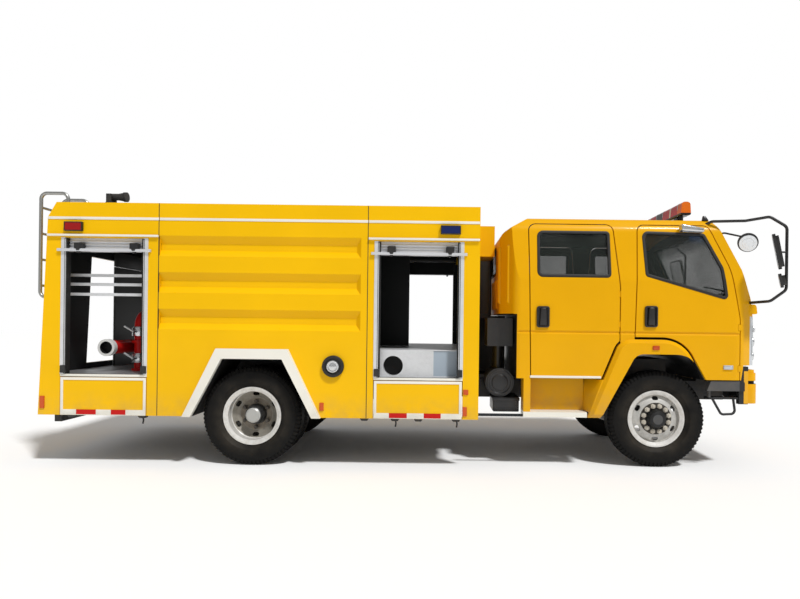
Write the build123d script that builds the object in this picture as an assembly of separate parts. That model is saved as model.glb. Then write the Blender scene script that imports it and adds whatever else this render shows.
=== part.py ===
from build123d import *
import os

os.makedirs("parts", exist_ok=True)

# Foam fire truck: crew cab, steel body with lockers, foam tank, pump room and roof monitor
# Sizes in millimetres; X forward from the rear axle, Y to the left, Z up from the ground

# Wheels
WHEELBASE = 4050.0
TYRE_D = 974.0
TYRE_W = 236.0
BEAD_D = 508.0
FLANGE_D = 574.0
RIM_W = 178.0
FRONT_TRACK = 1680.0
REAR_TRACK = 1650.0
TWIN_PITCH = 280.0
AXLE_Z = TYRE_D / 2
STUD_COUNT = 6
STUD_D = 32.0
HAND_HOLES = 6
KINGPIN_Y = 735.0
KINGPIN_R = 16.0
FIT = 0.3

# Frame
FRAME_W = 850.0
RAIL_H = 200.0
RAIL_FLANGE = 70.0
RAIL_T = 8.0
FRAME_Z = 630.0
FRAME_REAR = -1950.0
FRAME_NOSE = 910.0
FRAME_TOP = FRAME_Z + RAIL_H
FRAME_FRONT = WHEELBASE + FRAME_NOSE
RAIL_OUT = FRAME_W / 2
RAIL_IN = RAIL_OUT - RAIL_FLANGE

# Body: a stack of heights and a row of lengths
BODY_W = 2300.0
BODY_Z = 490.0
RUNNER_H = 40.0
DECK_T = 20.0
OPEN_H = 1330.0
HEAD_H = 345.0
REAR_OVERHANG = 2060.0
PUMP_ROOM_L = 1165.0
LOCKER_L = 1090.0
CAB_GAP = 225.0
REAR_LEAN = 77.0
CHAMFER_H = 145.0
CHAMFER_RUN = 83.0
SKIN = 40.0
TANK_SKIN = 60.0
ROOF_T = 40.0
ROOF_DROP = 35.0
HALF = BODY_W / 2
INNER = HALF - SKIN
TANK_HALF = HALF - TANK_SKIN
DECK_Z = FRAME_TOP + RUNNER_H
SILL_Z = DECK_Z + DECK_T
OPEN_TOP = SILL_Z + OPEN_H
BODY_TOP = OPEN_TOP + HEAD_H
ROOF_TOP = BODY_TOP - ROOF_DROP
ROOF_Z = ROOF_TOP - ROOF_T
CHAMFER_Z = BODY_TOP - CHAMFER_H

# Cab: a stack of heights; runs are X from the front axle
CAB_HALF = 1030.0
CAB_WALL = 60.0
CAB_LIFT = 60.0
BELT_H = 467.0
SHOULDER_H = 543.0
WINDOW_H = 470.0
HEADER_H = 70.0
GUTTER_H = 68.0
CROWN_H = 67.0
CROWN_R = 4500.0
NOSE_H = 150.0
LEDGE_H = 640.0
SCREEN_FOOT_H = 351.0
SCREEN_RAKE = 0.485
SCREEN_FOOT_RUN = 945.0
NOSE_RUN = 1025.0
NOSE_FOOT_RUN = 1008.0
BOW_RUN = 1040.0
BOW_R = 6000.0
CAB_BACK_RUN = -1590.0
GLASS_IN = 18.0
GLASS_T = 8.0
DOOR_GAP = 10.0
HINGE_IN = 10.0
HINGE_R = 9.0
HINGE_H = 60.0
HINGE_PIN_R = 4.0
HINGE_PIN_L = 30.0
FENDER_IN = 985.0
FENDER_OUT = 1070.0
CAB_FLOOR = FRAME_TOP + CAB_LIFT
NOSE_Z = CAB_FLOOR + NOSE_H
BELT_Z = CAB_FLOOR + BELT_H
LEDGE_Z = CAB_FLOOR + LEDGE_H
SCREEN_FOOT_Z = BELT_Z + SCREEN_FOOT_H
WINDOW_SILL = BELT_Z + SHOULDER_H
WINDOW_TOP = WINDOW_SILL + WINDOW_H
DOOR_TOP = WINDOW_TOP + HEADER_H
ROOF_EDGE = DOOR_TOP + GUTTER_H
CAB_ROOF = ROOF_EDGE + CROWN_H
CAB_BACK = WHEELBASE + CAB_BACK_RUN

# The body ends a gap behind the cab; its tank takes up what the wheelbase leaves
BODY_REAR = -REAR_OVERHANG
BODY_FRONT = CAB_BACK - CAB_GAP
SEAM_REAR = BODY_REAR + PUMP_ROOM_L
SEAM_FRONT = BODY_FRONT - LOCKER_L

# Side openings, set in from the ends of each module
REAR_JAMB = 212.0
SEAM_JAMB = 105.0
LOCKER_JAMB_REAR = 61.0
LOCKER_JAMB_FRONT = 155.0
REAR_OPEN_X0 = BODY_REAR + REAR_JAMB
REAR_OPEN_X1 = SEAM_REAR - SEAM_JAMB
FRONT_OPEN_X0 = SEAM_FRONT + LOCKER_JAMB_REAR
FRONT_OPEN_X1 = BODY_FRONT - LOCKER_JAMB_FRONT
FLAP_DROP = 4.0
FLAP_TOP = DECK_Z - FLAP_DROP
FLAP_GAP = 7.0
FLAP_T = 44.0
FLAP_PIN_IN = 12.0
FLAP_PIN_UP = 14.0
FLAP_PIN_R = 5.0
FLAP_PIN_L = 40.0

# Grooves in the tank sides
GROOVE_DROP = 315.0
GROOVE_TOP = BODY_TOP - GROOVE_DROP
GROOVE_PITCH = 357.0
GROOVE_COUNT = 3
GROOVE_UPPER = 75.0
GROOVE_FLOOR = 65.0
GROOVE_LOWER = 60.0
GROOVE_DEPTH = 45.0
GROOVE_STOP = 70.0

# Rear wheel arch
ARCH_MID = 30.0
ARCH_H = 571.0
ARCH_TOP = AXLE_Z + ARCH_H
ARCH_TOP_HALF = 293.0
ARCH_FOOT_HALF = 590.0
ARCH_TRIM_TOP = 98.0
ARCH_TRIM_TOP_HALF = 347.0
ARCH_TRIM_FOOT_HALF = 670.0
ARCH_TRIM_OUT = 50.0

# Ladder and mirrors set the length of the whole truck
LADDER_OUT = 90.0
LADDER_R = 17.0
MIRROR_RUN = 1145.0
MIRROR_TUBE_R = 14.0
LADDER_REAR = BODY_REAR - LADDER_OUT
MIRROR_FRONT = WHEELBASE + MIRROR_RUN
MID_X = (LADDER_REAR - LADDER_R + MIRROR_FRONT + MIRROR_TUBE_R) / 2


# Helpers
def block(x0, x1, y0, y1, z0, z1):
    return Pos((x0 + x1) / 2, (y0 + y1) / 2, (z0 + z1) / 2) * Box(x1 - x0, y1 - y0, z1 - z0)


def rod_x(x0, x1, y, z, r):
    return Pos((x0 + x1) / 2, y, z) * Rot(0, 90, 0) * Cylinder(r, x1 - x0)


def rod_y(x, y0, y1, z, r):
    return Pos(x, (y0 + y1) / 2, z) * Rot(90, 0, 0) * Cylinder(r, y1 - y0)


def rod_z(x, y, z0, z1, r):
    return Pos(x, y, (z0 + z1) / 2) * Cylinder(r, z1 - z0)


def fx(run):
    return WHEELBASE + run


def outline(rows):
    """Closed outline; a row is two places and a corner radius, which may be left out."""
    radii = [row[2] if len(row) > 2 else 0 for row in rows]
    points = [row[:2] for row in rows]
    if not any(radii):
        return make_face(Polyline(*points, close=True))
    return make_face(FilletPolyline(*points, radius=radii, close=True))


def from_axle(rows):
    return [(fx(run), *rest) for run, *rest in rows]


def mirrored(half, middle=()):
    return [(-y, *rest) for y, *rest in half] + list(middle) + list(reversed(half))


def plan_rows(half, middle):
    return [(fx(run), y, r) for y, run, r in mirrored(half, middle)]


def side_slab(face, y0, y1):
    return extrude(Plane.XZ.offset(-y1) * face, amount=y1 - y0)


def end_slab(face, x0, x1):
    return extrude(Plane.YZ.offset(x0) * face, amount=x1 - x0)


def plan_slab(face, z0, z1):
    return extrude(Plane.XY.offset(z0) * face, amount=z1 - z0)


def grown(face, size):
    return offset(face, amount=size, kind=Kind.INTERSECTION)


def tube(points, r, bend):
    path = FilletPolyline(*points, radius=bend)
    return sweep(Plane(origin=path @ 0, z_dir=path % 0) * Circle(r), path=path)


def left(shape):
    return mirror(shape, about=Plane.XZ)


def pair(*shapes):
    return [s for shape in shapes for s in (shape, left(shape))]


def save(node, *shapes):
    solids = [Pos(-MID_X, 0, 0) * s for shape in shapes for s in shape.solids()]
    export_step(solids[0] if len(solids) == 1 else Compound(solids), f"parts/{node}.step")


def save_sides(node, shape):
    save(f"{node}_right", shape)
    save(f"{node}_left", left(shape))


# Ladder frame with cab mounts and the rear underrun beam
WEB_IN = RAIL_OUT - RAIL_T
CROSS_H = 92.0
CROSS_L = 100.0
CAB_MOUNT_L = 90.0
GUARD_L = 70.0
GUARD_Z = 400.0
GUARD_H = 80.0
GUARD_HALF = 1000.0
GUARD_LEG_Y = 390.0
GUARD_LEG_HALF = 30.0
rail = block(FRAME_REAR, FRAME_FRONT, -RAIL_OUT, -RAIL_IN, FRAME_Z, FRAME_TOP)
rail -= block(FRAME_REAR, FRAME_FRONT, -RAIL_OUT + RAIL_T, -RAIL_IN, FRAME_Z + RAIL_T, FRAME_TOP - RAIL_T)
frame = rail + left(rail)
for x in (FRAME_REAR + 70, -700.0, 900.0, BODY_FRONT + 65, FRAME_FRONT - 160):
    frame += block(x, x + CROSS_L, -WEB_IN, WEB_IN, FRAME_TOP - CROSS_H - RAIL_T, FRAME_TOP - RAIL_T)
for x in (CAB_BACK + 220, FRAME_FRONT - 300):
    mount = block(x, x + CAB_MOUNT_L, -RAIL_OUT, -RAIL_IN, FRAME_TOP, CAB_FLOOR)
    frame += mount + left(mount)
guard_front = FRAME_REAR + GUARD_LEG_HALF
leg = block(FRAME_REAR, guard_front, -GUARD_LEG_Y - GUARD_LEG_HALF, -GUARD_LEG_Y + GUARD_LEG_HALF,
            GUARD_Z, FRAME_Z + RAIL_T)
frame += leg + left(leg)
frame += block(guard_front - GUARD_L, guard_front, -GUARD_HALF, GUARD_HALF, GUARD_Z, GUARD_Z + GUARD_H)
save("chassis_frame", frame)

# Front axle beam, with an eye for each king pin
EYE_R = 38.0
EYE_H = 90.0
EYE_Z = AXLE_Z - EYE_H / 2
EYE_FLAT = 12.0
BEAM_W = 80.0
BEAM_DROP = 12.0
BEAM_H = 80.0
BEAM_LOW_Y = 480.0
BEAM_RISE_Y = 620.0
BEAM_TOP = AXLE_Z - BEAM_DROP
beam_line = [(0, BEAM_TOP - BEAM_H), (BEAM_LOW_Y, BEAM_TOP - BEAM_H), (BEAM_RISE_Y, EYE_Z),
             (KINGPIN_Y, EYE_Z),
             (KINGPIN_Y, EYE_Z + EYE_H), (BEAM_RISE_Y, EYE_Z + EYE_H), (BEAM_LOW_Y, BEAM_TOP), (0, BEAM_TOP)]
beam = end_slab(outline(beam_line), WHEELBASE - BEAM_W / 2, WHEELBASE + BEAM_W / 2)
beam -= block(WHEELBASE - BEAM_W, WHEELBASE + BEAM_W, KINGPIN_Y - EYE_FLAT, KINGPIN_Y + EYE_R, EYE_Z,
              EYE_Z + EYE_H)
beam += rod_z(WHEELBASE, KINGPIN_Y, EYE_Z, EYE_Z + EYE_H, EYE_R)
beam -= rod_z(WHEELBASE, KINGPIN_Y, EYE_Z - 1, EYE_Z + EYE_H + 1, KINGPIN_R + FIT)
save("front_axle", beam + left(beam))

# Steering knuckles: a fork round the eye, the king pin and the stub axle
EAR_T = 40.0
EAR_GAP = 0.5
FORK_GAP = 6.0
SPINDLE_R = 40.0
SPINDLE_END = 905.0
FORK_OUT = 800.0
knuckle = rod_z(WHEELBASE, -KINGPIN_Y, EYE_Z - EAR_T, EYE_Z + EYE_H + EAR_T, KINGPIN_R)
for z in (EYE_Z - EAR_GAP - EAR_T, EYE_Z + EYE_H + EAR_GAP):
    knuckle += rod_z(WHEELBASE, -KINGPIN_Y, z, z + EAR_T, EYE_R)
    knuckle += block(WHEELBASE - EYE_R, WHEELBASE + EYE_R, -FORK_OUT, -KINGPIN_Y, z, z + EAR_T)
knuckle += block(WHEELBASE - EYE_R, WHEELBASE + EYE_R, -FORK_OUT, -KINGPIN_Y - EYE_R - FORK_GAP,
                 EYE_Z - EAR_T, EYE_Z + EYE_H + EAR_T)
knuckle += rod_y(WHEELBASE, -SPINDLE_END, -FORK_OUT, AXLE_Z, SPINDLE_R)
save_sides("knuckle", knuckle)

# Leaf springs with hangers and axle pads
LEAF_W = 70.0
LEAF_H = 50.0
HANGER_L = 50.0
PAD_HALF = 75.0
REAR_TUBE_R = 58.0
FRONT_LEAF_HALF = 600.0
REAR_LEAF_HALF = 680.0
FRONT_LEAF_RISE = 20.0
FRONT_LEAF_END = FRAME_Z - LEAF_H
REAR_LEAF_MID = AXLE_Z + 103
REAR_LEAF_END = FRAME_Z + 70
LEAF_LAP = 10.0
FRONT_LEAF_Y = -(RAIL_IN + LEAF_W / 2)
REAR_LEAF_Y = -(RAIL_OUT + LEAF_W / 2)


def leaf_spring(x, half, z_mid, z_end, y, pad_z, hanger_z):
    y0 = y - LEAF_W / 2
    y1 = y + LEAF_W / 2
    low = ThreePointArc((x - half, z_end), (x, z_mid), (x + half, z_end))
    high = ThreePointArc((x - half, z_end + LEAF_H), (x, z_mid + LEAF_H), (x + half, z_end + LEAF_H))
    ends = [Line(low @ 0, high @ 0), Line(low @ 1, high @ 1)]
    spring = side_slab(make_face([low, high, *ends]), y0, y1)
    spring += block(x - PAD_HALF, x + PAD_HALF, y0, y1, pad_z, z_mid + LEAF_LAP * 2)
    for end in (x - half, x + half - HANGER_L):
        spring += block(end, end + HANGER_L, y0, y1, z_end + LEAF_LAP, hanger_z)
    return spring


front_leaf = leaf_spring(WHEELBASE, FRONT_LEAF_HALF, BEAM_TOP + FRONT_LEAF_RISE, FRONT_LEAF_END, FRONT_LEAF_Y,
                         BEAM_TOP, FRAME_Z)
rear_leaf = leaf_spring(0, REAR_LEAF_HALF, REAR_LEAF_MID, REAR_LEAF_END, REAR_LEAF_Y, AXLE_Z,
                        FRAME_TOP - LEAF_H)
rear_leaf -= rod_y(0, REAR_LEAF_Y - LEAF_W, REAR_LEAF_Y + LEAF_W, AXLE_Z, REAR_TUBE_R + FIT)
save("leaf_springs", *pair(front_leaf, rear_leaf))

# Rear axle with its differential
REAR_AXLE_END = 985.0
DIFF_R = 170.0
DIFF_HALF = 110.0
PINION_R = 90.0
PINION_L = 260.0
rear_axle = rod_y(0, -REAR_AXLE_END, REAR_AXLE_END, AXLE_Z, REAR_TUBE_R)
rear_axle += rod_y(0, -DIFF_HALF, DIFF_HALF, AXLE_Z, DIFF_R) + rod_x(0, PINION_L, 0, AXLE_Z, PINION_R)

# Engine with gearbox as one plain block, and the propeller shaft
ENGINE_BACK_RUN = -260.0
ENGINE_NOSE_RUN = 320.0
ENGINE_HALF = 320.0
ENGINE_H = 530.0
ENGINE_Z = 530.0
GEARBOX_RUN = -1100.0
GEARBOX_HALF = 180.0
GEARBOX_H = 300.0
GEARBOX_UP = 30.0
ENGINE_MOUNT_L = 100.0
ENGINE_MOUNT_H = 82.0
SHAFT_R = 42.0
SHAFT_Z = 690.0
SHAFT_BEND = 60.0
GEARBOX_Z = ENGINE_Z + GEARBOX_UP
engine = block(fx(ENGINE_BACK_RUN), fx(ENGINE_NOSE_RUN), -ENGINE_HALF, ENGINE_HALF, ENGINE_Z,
               ENGINE_Z + ENGINE_H)
engine += block(fx(GEARBOX_RUN), fx(ENGINE_BACK_RUN), -GEARBOX_HALF, GEARBOX_HALF, GEARBOX_Z,
                GEARBOX_Z + GEARBOX_H)
mount = block(WHEELBASE, WHEELBASE + ENGINE_MOUNT_L, -WEB_IN, -ENGINE_HALF, FRAME_Z + RAIL_T,
              FRAME_Z + RAIL_T + ENGINE_MOUNT_H)
engine = engine + mount + left(mount)
save("engine", engine)
shaft_line = [(fx(GEARBOX_RUN) + GEARBOX_UP, 0, SHAFT_Z),
              (fx(GEARBOX_RUN) / 2, 0, (SHAFT_Z + AXLE_Z) / 2 + GEARBOX_UP),
              (PINION_L - SHAFT_BEND, 0, AXLE_Z)]
shaft = tube(shaft_line, SHAFT_R, SHAFT_BEND) - engine
save("rear_axle", rear_axle + shaft)

# Air tank on the right, silencer with its pipe on the left
DRUM_R = 120.0
DRUM_Y = 640.0
DRUM_Z = 620.0
DRUM_INSET = 155.0
STRAP_L = 60.0
STRAP_INSET = 100.0
PIPE_R = 40.0
drum_x0 = SEAM_FRONT + DRUM_INSET
drum_x1 = BODY_FRONT - DRUM_INSET
drum = rod_x(drum_x0, drum_x1, -DRUM_Y, DRUM_Z, DRUM_R)
for x in (drum_x0 + STRAP_INSET, drum_x1 - STRAP_INSET - STRAP_L):
    drum += block(x, x + STRAP_L, -DRUM_Y + STRAP_L, -RAIL_OUT, DRUM_Z + STRAP_L / 2, DRUM_Z + STRAP_L * 1.5)
pipe_line = [(drum_x1 - PIPE_R, DRUM_Y, DRUM_Z), (CAB_BACK - PIPE_R, DRUM_Y - STRAP_L, DRUM_Z),
             (CAB_BACK + CAB_GAP, DRUM_Y - DRUM_R - PIPE_R / 2, DRUM_Z)]
silencer = left(drum) + tube(pipe_line, PIPE_R, SHAFT_BEND)
save("air_tank_and_silencer", drum, silencer)

# Fuel tank on the left, behind the cab
FUEL_IN = 480.0
FUEL_OUT = 1000.0
FUEL_Z = 690.0
FUEL_SIZE = 300.0
FUEL_BACK = 180.0
fuel = block(CAB_BACK - FUEL_BACK, CAB_BACK - FUEL_BACK + FUEL_SIZE, FUEL_IN, FUEL_OUT, FUEL_Z,
             FUEL_Z + FUEL_SIZE)
fuel += block(CAB_BACK - STRAP_L, CAB_BACK + STRAP_L, RAIL_OUT, FUEL_IN, FUEL_Z, FRAME_TOP - LEAF_H)
save("fuel_tank", fuel)

# Air cleaner drum and intake box behind the cab
CLEANER_RUN = -1580.0
CLEANER_Z = 830.0
CLEANER_R = 145.0
CLEANER_IN = 480.0
CLEANER_OUT = 860.0
DUCT_Y = 600.0
DUCT_R = 55.0
INTAKE_Z = 1200.0
INTAKE_H = 290.0
INTAKE_HALF = 130.0
INTAKE_IN = 430.0
INTAKE_OUT = 830.0
CLAMP_HALF = 40.0
cleaner_x = fx(CLEANER_RUN)
cleaner = rod_y(cleaner_x, -CLEANER_OUT, -CLEANER_IN, CLEANER_Z, CLEANER_R)
cleaner += rod_z(cleaner_x, -DUCT_Y, CLEANER_Z, INTAKE_Z + CLAMP_HALF, DUCT_R)
cleaner += block(cleaner_x - INTAKE_HALF, cleaner_x + INTAKE_HALF, -INTAKE_OUT, -INTAKE_IN, INTAKE_Z,
                 INTAKE_Z + INTAKE_H)
cleaner += block(cleaner_x - CLAMP_HALF, cleaner_x + CLAMP_HALF, -CLEANER_IN - CLAMP_HALF, -RAIL_OUT,
                 FRAME_TOP - CLAMP_HALF * 3, FRAME_TOP - CLAMP_HALF)
save("air_cleaner", cleaner)


# Wheels, turned about Y: r from the axle line, w outward from the middle of the rim
BEAD_R = BEAD_D / 2
FLANGE_R = FLANGE_D / 2
TYRE_R = TYRE_D / 2
RW = RIM_W / 2
TW = TYRE_W / 2
RIM_T = 12.0
FLANGE_T = 14.0
HUB_R = 150.0
HUB_CAP_R = 100.0
DISC_FOOT = BEAD_R - RIM_T / 2
HAND_HOLE_R = 205.0
HAND_HOLE_L = 66.0
HAND_HOLE_W = 40.0
STUD_RING_R = 130.0
NUT_H = 22.0
TREAD_T = 40.0


def spun(points, y):
    ring = revolve(Plane.XY * outline(points), Axis.X)
    return Pos(0, y, AXLE_Z) * Rot(0, 0, 90) * ring


def barrel(y):
    outer = [(-RW, FLANGE_R), (-RW + FLANGE_T, FLANGE_R), (-RW + FLANGE_T, BEAD_R), (RW - FLANGE_T, BEAD_R),
             (RW - FLANGE_T, FLANGE_R), (RW, FLANGE_R)]
    inner = [(RW, FLANGE_R - FLANGE_T), (RW - FLANGE_T, BEAD_R - RIM_T), (-RW + FLANGE_T, BEAD_R - RIM_T),
             (-RW, FLANGE_R - FLANGE_T)]
    return spun(outer + inner, y)


def tyre(y):
    side = RW - FLANGE_T - FIT
    foot = BEAD_R + FIT
    half = [(side, foot), (side, FLANGE_R), (TW - 6, FLANGE_R + 45), (TW, FLANGE_R + 90),
            (TW - 12, TYRE_R - 30),
            (TW - 22, TYRE_R - 8), (TW - 50, TYRE_R)]
    hollow = [(side - 26, foot), (side - 26, FLANGE_R), (TW - 28, FLANGE_R + 60), (TW - 34, TYRE_R - TREAD_T)]
    inside = [(-w, r) for w, r in hollow] + list(reversed(hollow))
    return spun(half + [(-w, r) for w, r in reversed(half)] + inside, y)


def ring_of(count, r, shape):
    return [Pos(0, 0, AXLE_Z) * Rot(0, 360 * i / count, 0) * Pos(0, 0, r) * shape for i in range(count)]


def hand_holes(y):
    hole = Pos(0, y, 0) * Rot(90, 0, 0) * extrude(SlotOverall(HAND_HOLE_L, HAND_HOLE_W), amount=HUB_R / 3,
                                                  both=True)
    return ring_of(HAND_HOLES, HAND_HOLE_R, hole)


def nuts(count, y, height):
    return ring_of(count, STUD_RING_R, Pos(0, y, 0) * Rot(90, 0, 0) * Cylinder(STUD_D / 2, height))


# Front wheel: a domed disc with hand holes, hub and nuts standing out
def front_rim():
    disc = [(10, DISC_FOOT), (34, DISC_FOOT), (60, 195), (72, 165), (72, HUB_R - 45),
            (58, HUB_R - 45), (58, 160), (44, 190)]
    hub = [(72, SPINDLE_R + FIT), (72, HUB_R), (58, HUB_R), (-15, HUB_R - 30), (-15, SPINDLE_R + FIT)]
    cap = [(72, 0), (72, HUB_CAP_R), (100, HUB_CAP_R), (140, 78), (146, 60), (146, 0)]
    rim = spun(disc, 0) + spun(hub, 0) + spun(cap, 0) + barrel(0)
    for cut in hand_holes(50):
        rim -= cut
    for piece in nuts(STUD_COUNT * 2, 80, NUT_H):
        rim += piece
    return rim


# Rear twin wheels: dished discs back to back, joined by the hub
def rear_rims():
    outer_y = TWIN_PITCH / 2
    disc = [(-40, DISC_FOOT), (-16, DISC_FOOT), (-52, 195), (-66, 165), (-66, 95), (-80, 95), (-80, 170),
            (-66, 205)]
    bore = REAR_TUBE_R + FIT
    rims = spun(disc, outer_y) + barrel(outer_y)
    rims += spun([(-w, r) for w, r in disc], -outer_y) + barrel(-outer_y)
    rims += spun([(-66, bore), (-66, 165), (66, 165), (66, bore)], 0)
    rims += spun([(60, bore), (60, 105), (130, 95), (130, bore)], 0)
    cap = [(110, 0), (110, 95), (190, 82), (206, 60), (206, 0)]
    rims += spun(cap, 0) - spun([(100, 0), (100, bore), (162, bore), (162, 0)], 0)
    for piece in nuts(STUD_COUNT, 78, NUT_H * 2):
        rims += piece
    for cut in hand_holes(80):
        rims -= cut
    return rims


FRONT_Y = FRONT_TRACK / 2
REAR_Y = REAR_TRACK / 2
rear_wheel = Pos(0, REAR_Y, 0) * rear_rims()
front_wheel = Pos(WHEELBASE, FRONT_Y, 0) * front_rim()
front_tyre = Pos(WHEELBASE, FRONT_Y, 0) * tyre(0)
rear_tyres = [Pos(0, REAR_Y, 0) * tyre(y) for y in (TWIN_PITCH / 2, -TWIN_PITCH / 2)]
save("front_rim_left", front_wheel)
save("front_rim_right", left(front_wheel))
save("front_tyre_left", front_tyre)
save("front_tyre_right", left(front_tyre))
save("rear_rims_left", rear_wheel)
save("rear_rims_right", left(rear_wheel))
save("rear_tyres_left", *rear_tyres)
save("rear_tyres_right", *[left(t) for t in rear_tyres])

# Body floor on runners over the frame rails
deck = block(BODY_REAR + 60, SEAM_REAR, -INNER, INNER, DECK_Z, SILL_Z)
deck += block(SEAM_FRONT, BODY_FRONT, -INNER, INNER, DECK_Z, SILL_Z)
runner = block(FRAME_REAR, BODY_FRONT, -RAIL_OUT, -RAIL_IN, FRAME_TOP, DECK_Z)
save("body_floor", deck + runner + left(runner))

# Side walls of the pump room and the front locker, with pins for the flaps
REAR_TOP_X = BODY_REAR + REAR_LEAN
ROOF_REAR = REAR_TOP_X + CHAMFER_RUN
pump_side = [(BODY_REAR, BODY_Z), (SEAM_REAR, BODY_Z), (SEAM_REAR, BODY_TOP), (ROOF_REAR, BODY_TOP),
             (REAR_TOP_X, CHAMFER_Z)]
locker_side = [(SEAM_FRONT, BODY_Z), (BODY_FRONT, BODY_Z), (BODY_FRONT, BODY_TOP), (SEAM_FRONT, BODY_TOP)]
FLAP_PIN_Y = -(HALF - FLAP_PIN_IN)
FLAP_PIN_Z = BODY_Z + FLAP_PIN_UP


def side_wall(points, x0, x1):
    wall = side_slab(outline(points), -HALF, -INNER)
    wall -= block(x0, x1, -HALF, -INNER, SILL_Z, OPEN_TOP)
    wall -= block(x0, x1, -HALF, -INNER, BODY_Z, FLAP_TOP)
    pin = rod_x(x0 - FLAP_PIN_R, x0 + FLAP_PIN_L, FLAP_PIN_Y, FLAP_PIN_Z, FLAP_PIN_R)
    pin += rod_x(x1 - FLAP_PIN_L, x1 + FLAP_PIN_R, FLAP_PIN_Y, FLAP_PIN_Z, FLAP_PIN_R)
    return wall + pin


def flap(x0, x1):
    panel = block(x0 + FLAP_GAP, x1 - FLAP_GAP, -HALF, -HALF + FLAP_T, BODY_Z, FLAP_TOP - FLAP_GAP)
    return panel - rod_x(x0, x1, FLAP_PIN_Y, FLAP_PIN_Z, FLAP_PIN_R + FIT)


save("pump_room_sides", *pair(side_wall(pump_side, REAR_OPEN_X0, REAR_OPEN_X1)))
save("locker_sides", *pair(side_wall(locker_side, FRONT_OPEN_X0, FRONT_OPEN_X1)))
save_sides("flap_rear", flap(REAR_OPEN_X0, REAR_OPEN_X1))
save_sides("flap_front", flap(FRONT_OPEN_X0, FRONT_OPEN_X1))


# Tank sides with their long pressed grooves and the wheel arch
def arch(top_half, foot_half, top_z, foot_z):
    return outline([(ARCH_MID - foot_half, foot_z), (ARCH_MID - top_half, top_z),
                    (ARCH_MID + top_half, top_z),
                    (ARCH_MID + foot_half, foot_z)])


arch_in = arch(ARCH_TOP_HALF, ARCH_FOOT_HALF, ARCH_TOP, BODY_Z - 5)
arch_out = arch(ARCH_TRIM_TOP_HALF, ARCH_TRIM_FOOT_HALF, ARCH_TOP + ARCH_TRIM_TOP, BODY_Z)
panel = block(SEAM_REAR, SEAM_FRONT, -HALF, -TANK_HALF, BODY_Z, BODY_TOP)
groove_end = SEAM_FRONT - GROOVE_STOP
groove_y = -HALF + GROOVE_DEPTH
for i in range(GROOVE_COUNT):
    z = GROOVE_TOP - i * GROOVE_PITCH
    low = z - GROOVE_UPPER - GROOVE_FLOOR
    section = [(-HALF, z), (groove_y, z - GROOVE_UPPER), (groove_y, low), (-HALF, low - GROOVE_LOWER)]
    groove = end_slab(outline(section), SEAM_REAR, groove_end)
    wedge = outline([(groove_end, -HALF), (groove_end - GROOVE_DEPTH, groove_y), (groove_end, groove_y)])
    panel -= groove - plan_slab(wedge, low - GROOVE_LOWER, z)
panel -= side_slab(arch_in, -HALF, -TANK_HALF)
save("tank_sides", *pair(panel))
trim = side_slab(arch_out, -HALF - ARCH_TRIM_OUT, -HALF) - side_slab(arch_in, -HALF - ARCH_TRIM_OUT, -HALF)
save("arch_trims", *pair(trim))

# Wheel housings inside the arches
LINER_T = 15.0
LINER_GAP = 20.0
liner_out = -TANK_HALF
liner_in = -RAIL_OUT - LEAF_W - LINER_GAP
liner = side_slab(grown(arch_in, LINER_T), liner_out, liner_in) - side_slab(arch_in, liner_out, liner_in)
liner &= block(SEAM_REAR, SEAM_FRONT, liner_out, liner_in, BODY_Z, BODY_TOP)
save("wheel_housings", *pair(liner))

# Water and foam tank, T shaped, between two bulkheads
TANK_SHELF = ARCH_TOP + LINER_T * 2
TANK_KEEL = 480.0
tank = block(SEAM_REAR, SEAM_FRONT, -TANK_HALF, TANK_HALF, TANK_SHELF, ROOF_Z)
tank += block(SEAM_REAR, SEAM_FRONT, -TANK_KEEL, TANK_KEEL, DECK_Z, TANK_SHELF)
save("foam_tank", tank)

# Roof deck below the side walls' top edge: a plate over the pump room and one over the rest
rear_deck = block(ROOF_REAR + SKIN, SEAM_REAR, -INNER, INNER, ROOF_Z, ROOF_TOP)
main_deck = block(SEAM_REAR, SEAM_FRONT, -TANK_HALF, TANK_HALF, ROOF_Z, ROOF_TOP)
main_deck += block(SEAM_FRONT, BODY_FRONT - SKIN, -INNER, INNER, ROOF_Z, ROOF_TOP)
save("body_roof", rear_deck, main_deck)

# End walls, the front one with a box over the gap to the cab
REAR_DOOR_Y0 = -450.0
REAR_DOOR_Y1 = 850.0
REAR_DOOR_SILL = 60.0
REAR_DOOR_HEAD = 110.0
GAP_BOX_L = 200.0
GAP_BOX_HALF = 480.0
GAP_BOX_H = 330.0
rear_line = [(BODY_REAR, BODY_Z), (REAR_TOP_X, CHAMFER_Z), (ROOF_REAR, BODY_TOP),
             (ROOF_REAR + SKIN, BODY_TOP),
             (REAR_TOP_X + SKIN, CHAMFER_Z), (BODY_REAR + SKIN, BODY_Z)]
rear_wall = side_slab(outline(rear_line), -INNER, INNER)
rear_wall -= block(BODY_REAR, ROOF_REAR, REAR_DOOR_Y0, REAR_DOOR_Y1, SILL_Z + REAR_DOOR_SILL,
                   OPEN_TOP - REAR_DOOR_HEAD)
front_wall = block(BODY_FRONT - SKIN, BODY_FRONT, -INNER, INNER, SILL_Z, BODY_TOP)
front_wall += block(BODY_FRONT, BODY_FRONT + GAP_BOX_L, -GAP_BOX_HALF, GAP_BOX_HALF, ROOF_Z - GAP_BOX_H,
                    ROOF_Z)
save("end_walls", rear_wall, front_wall)


def rear_face_x(z):
    return BODY_REAR + REAR_LEAN * (z - BODY_Z) / (CHAMFER_Z - BODY_Z)


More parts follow.
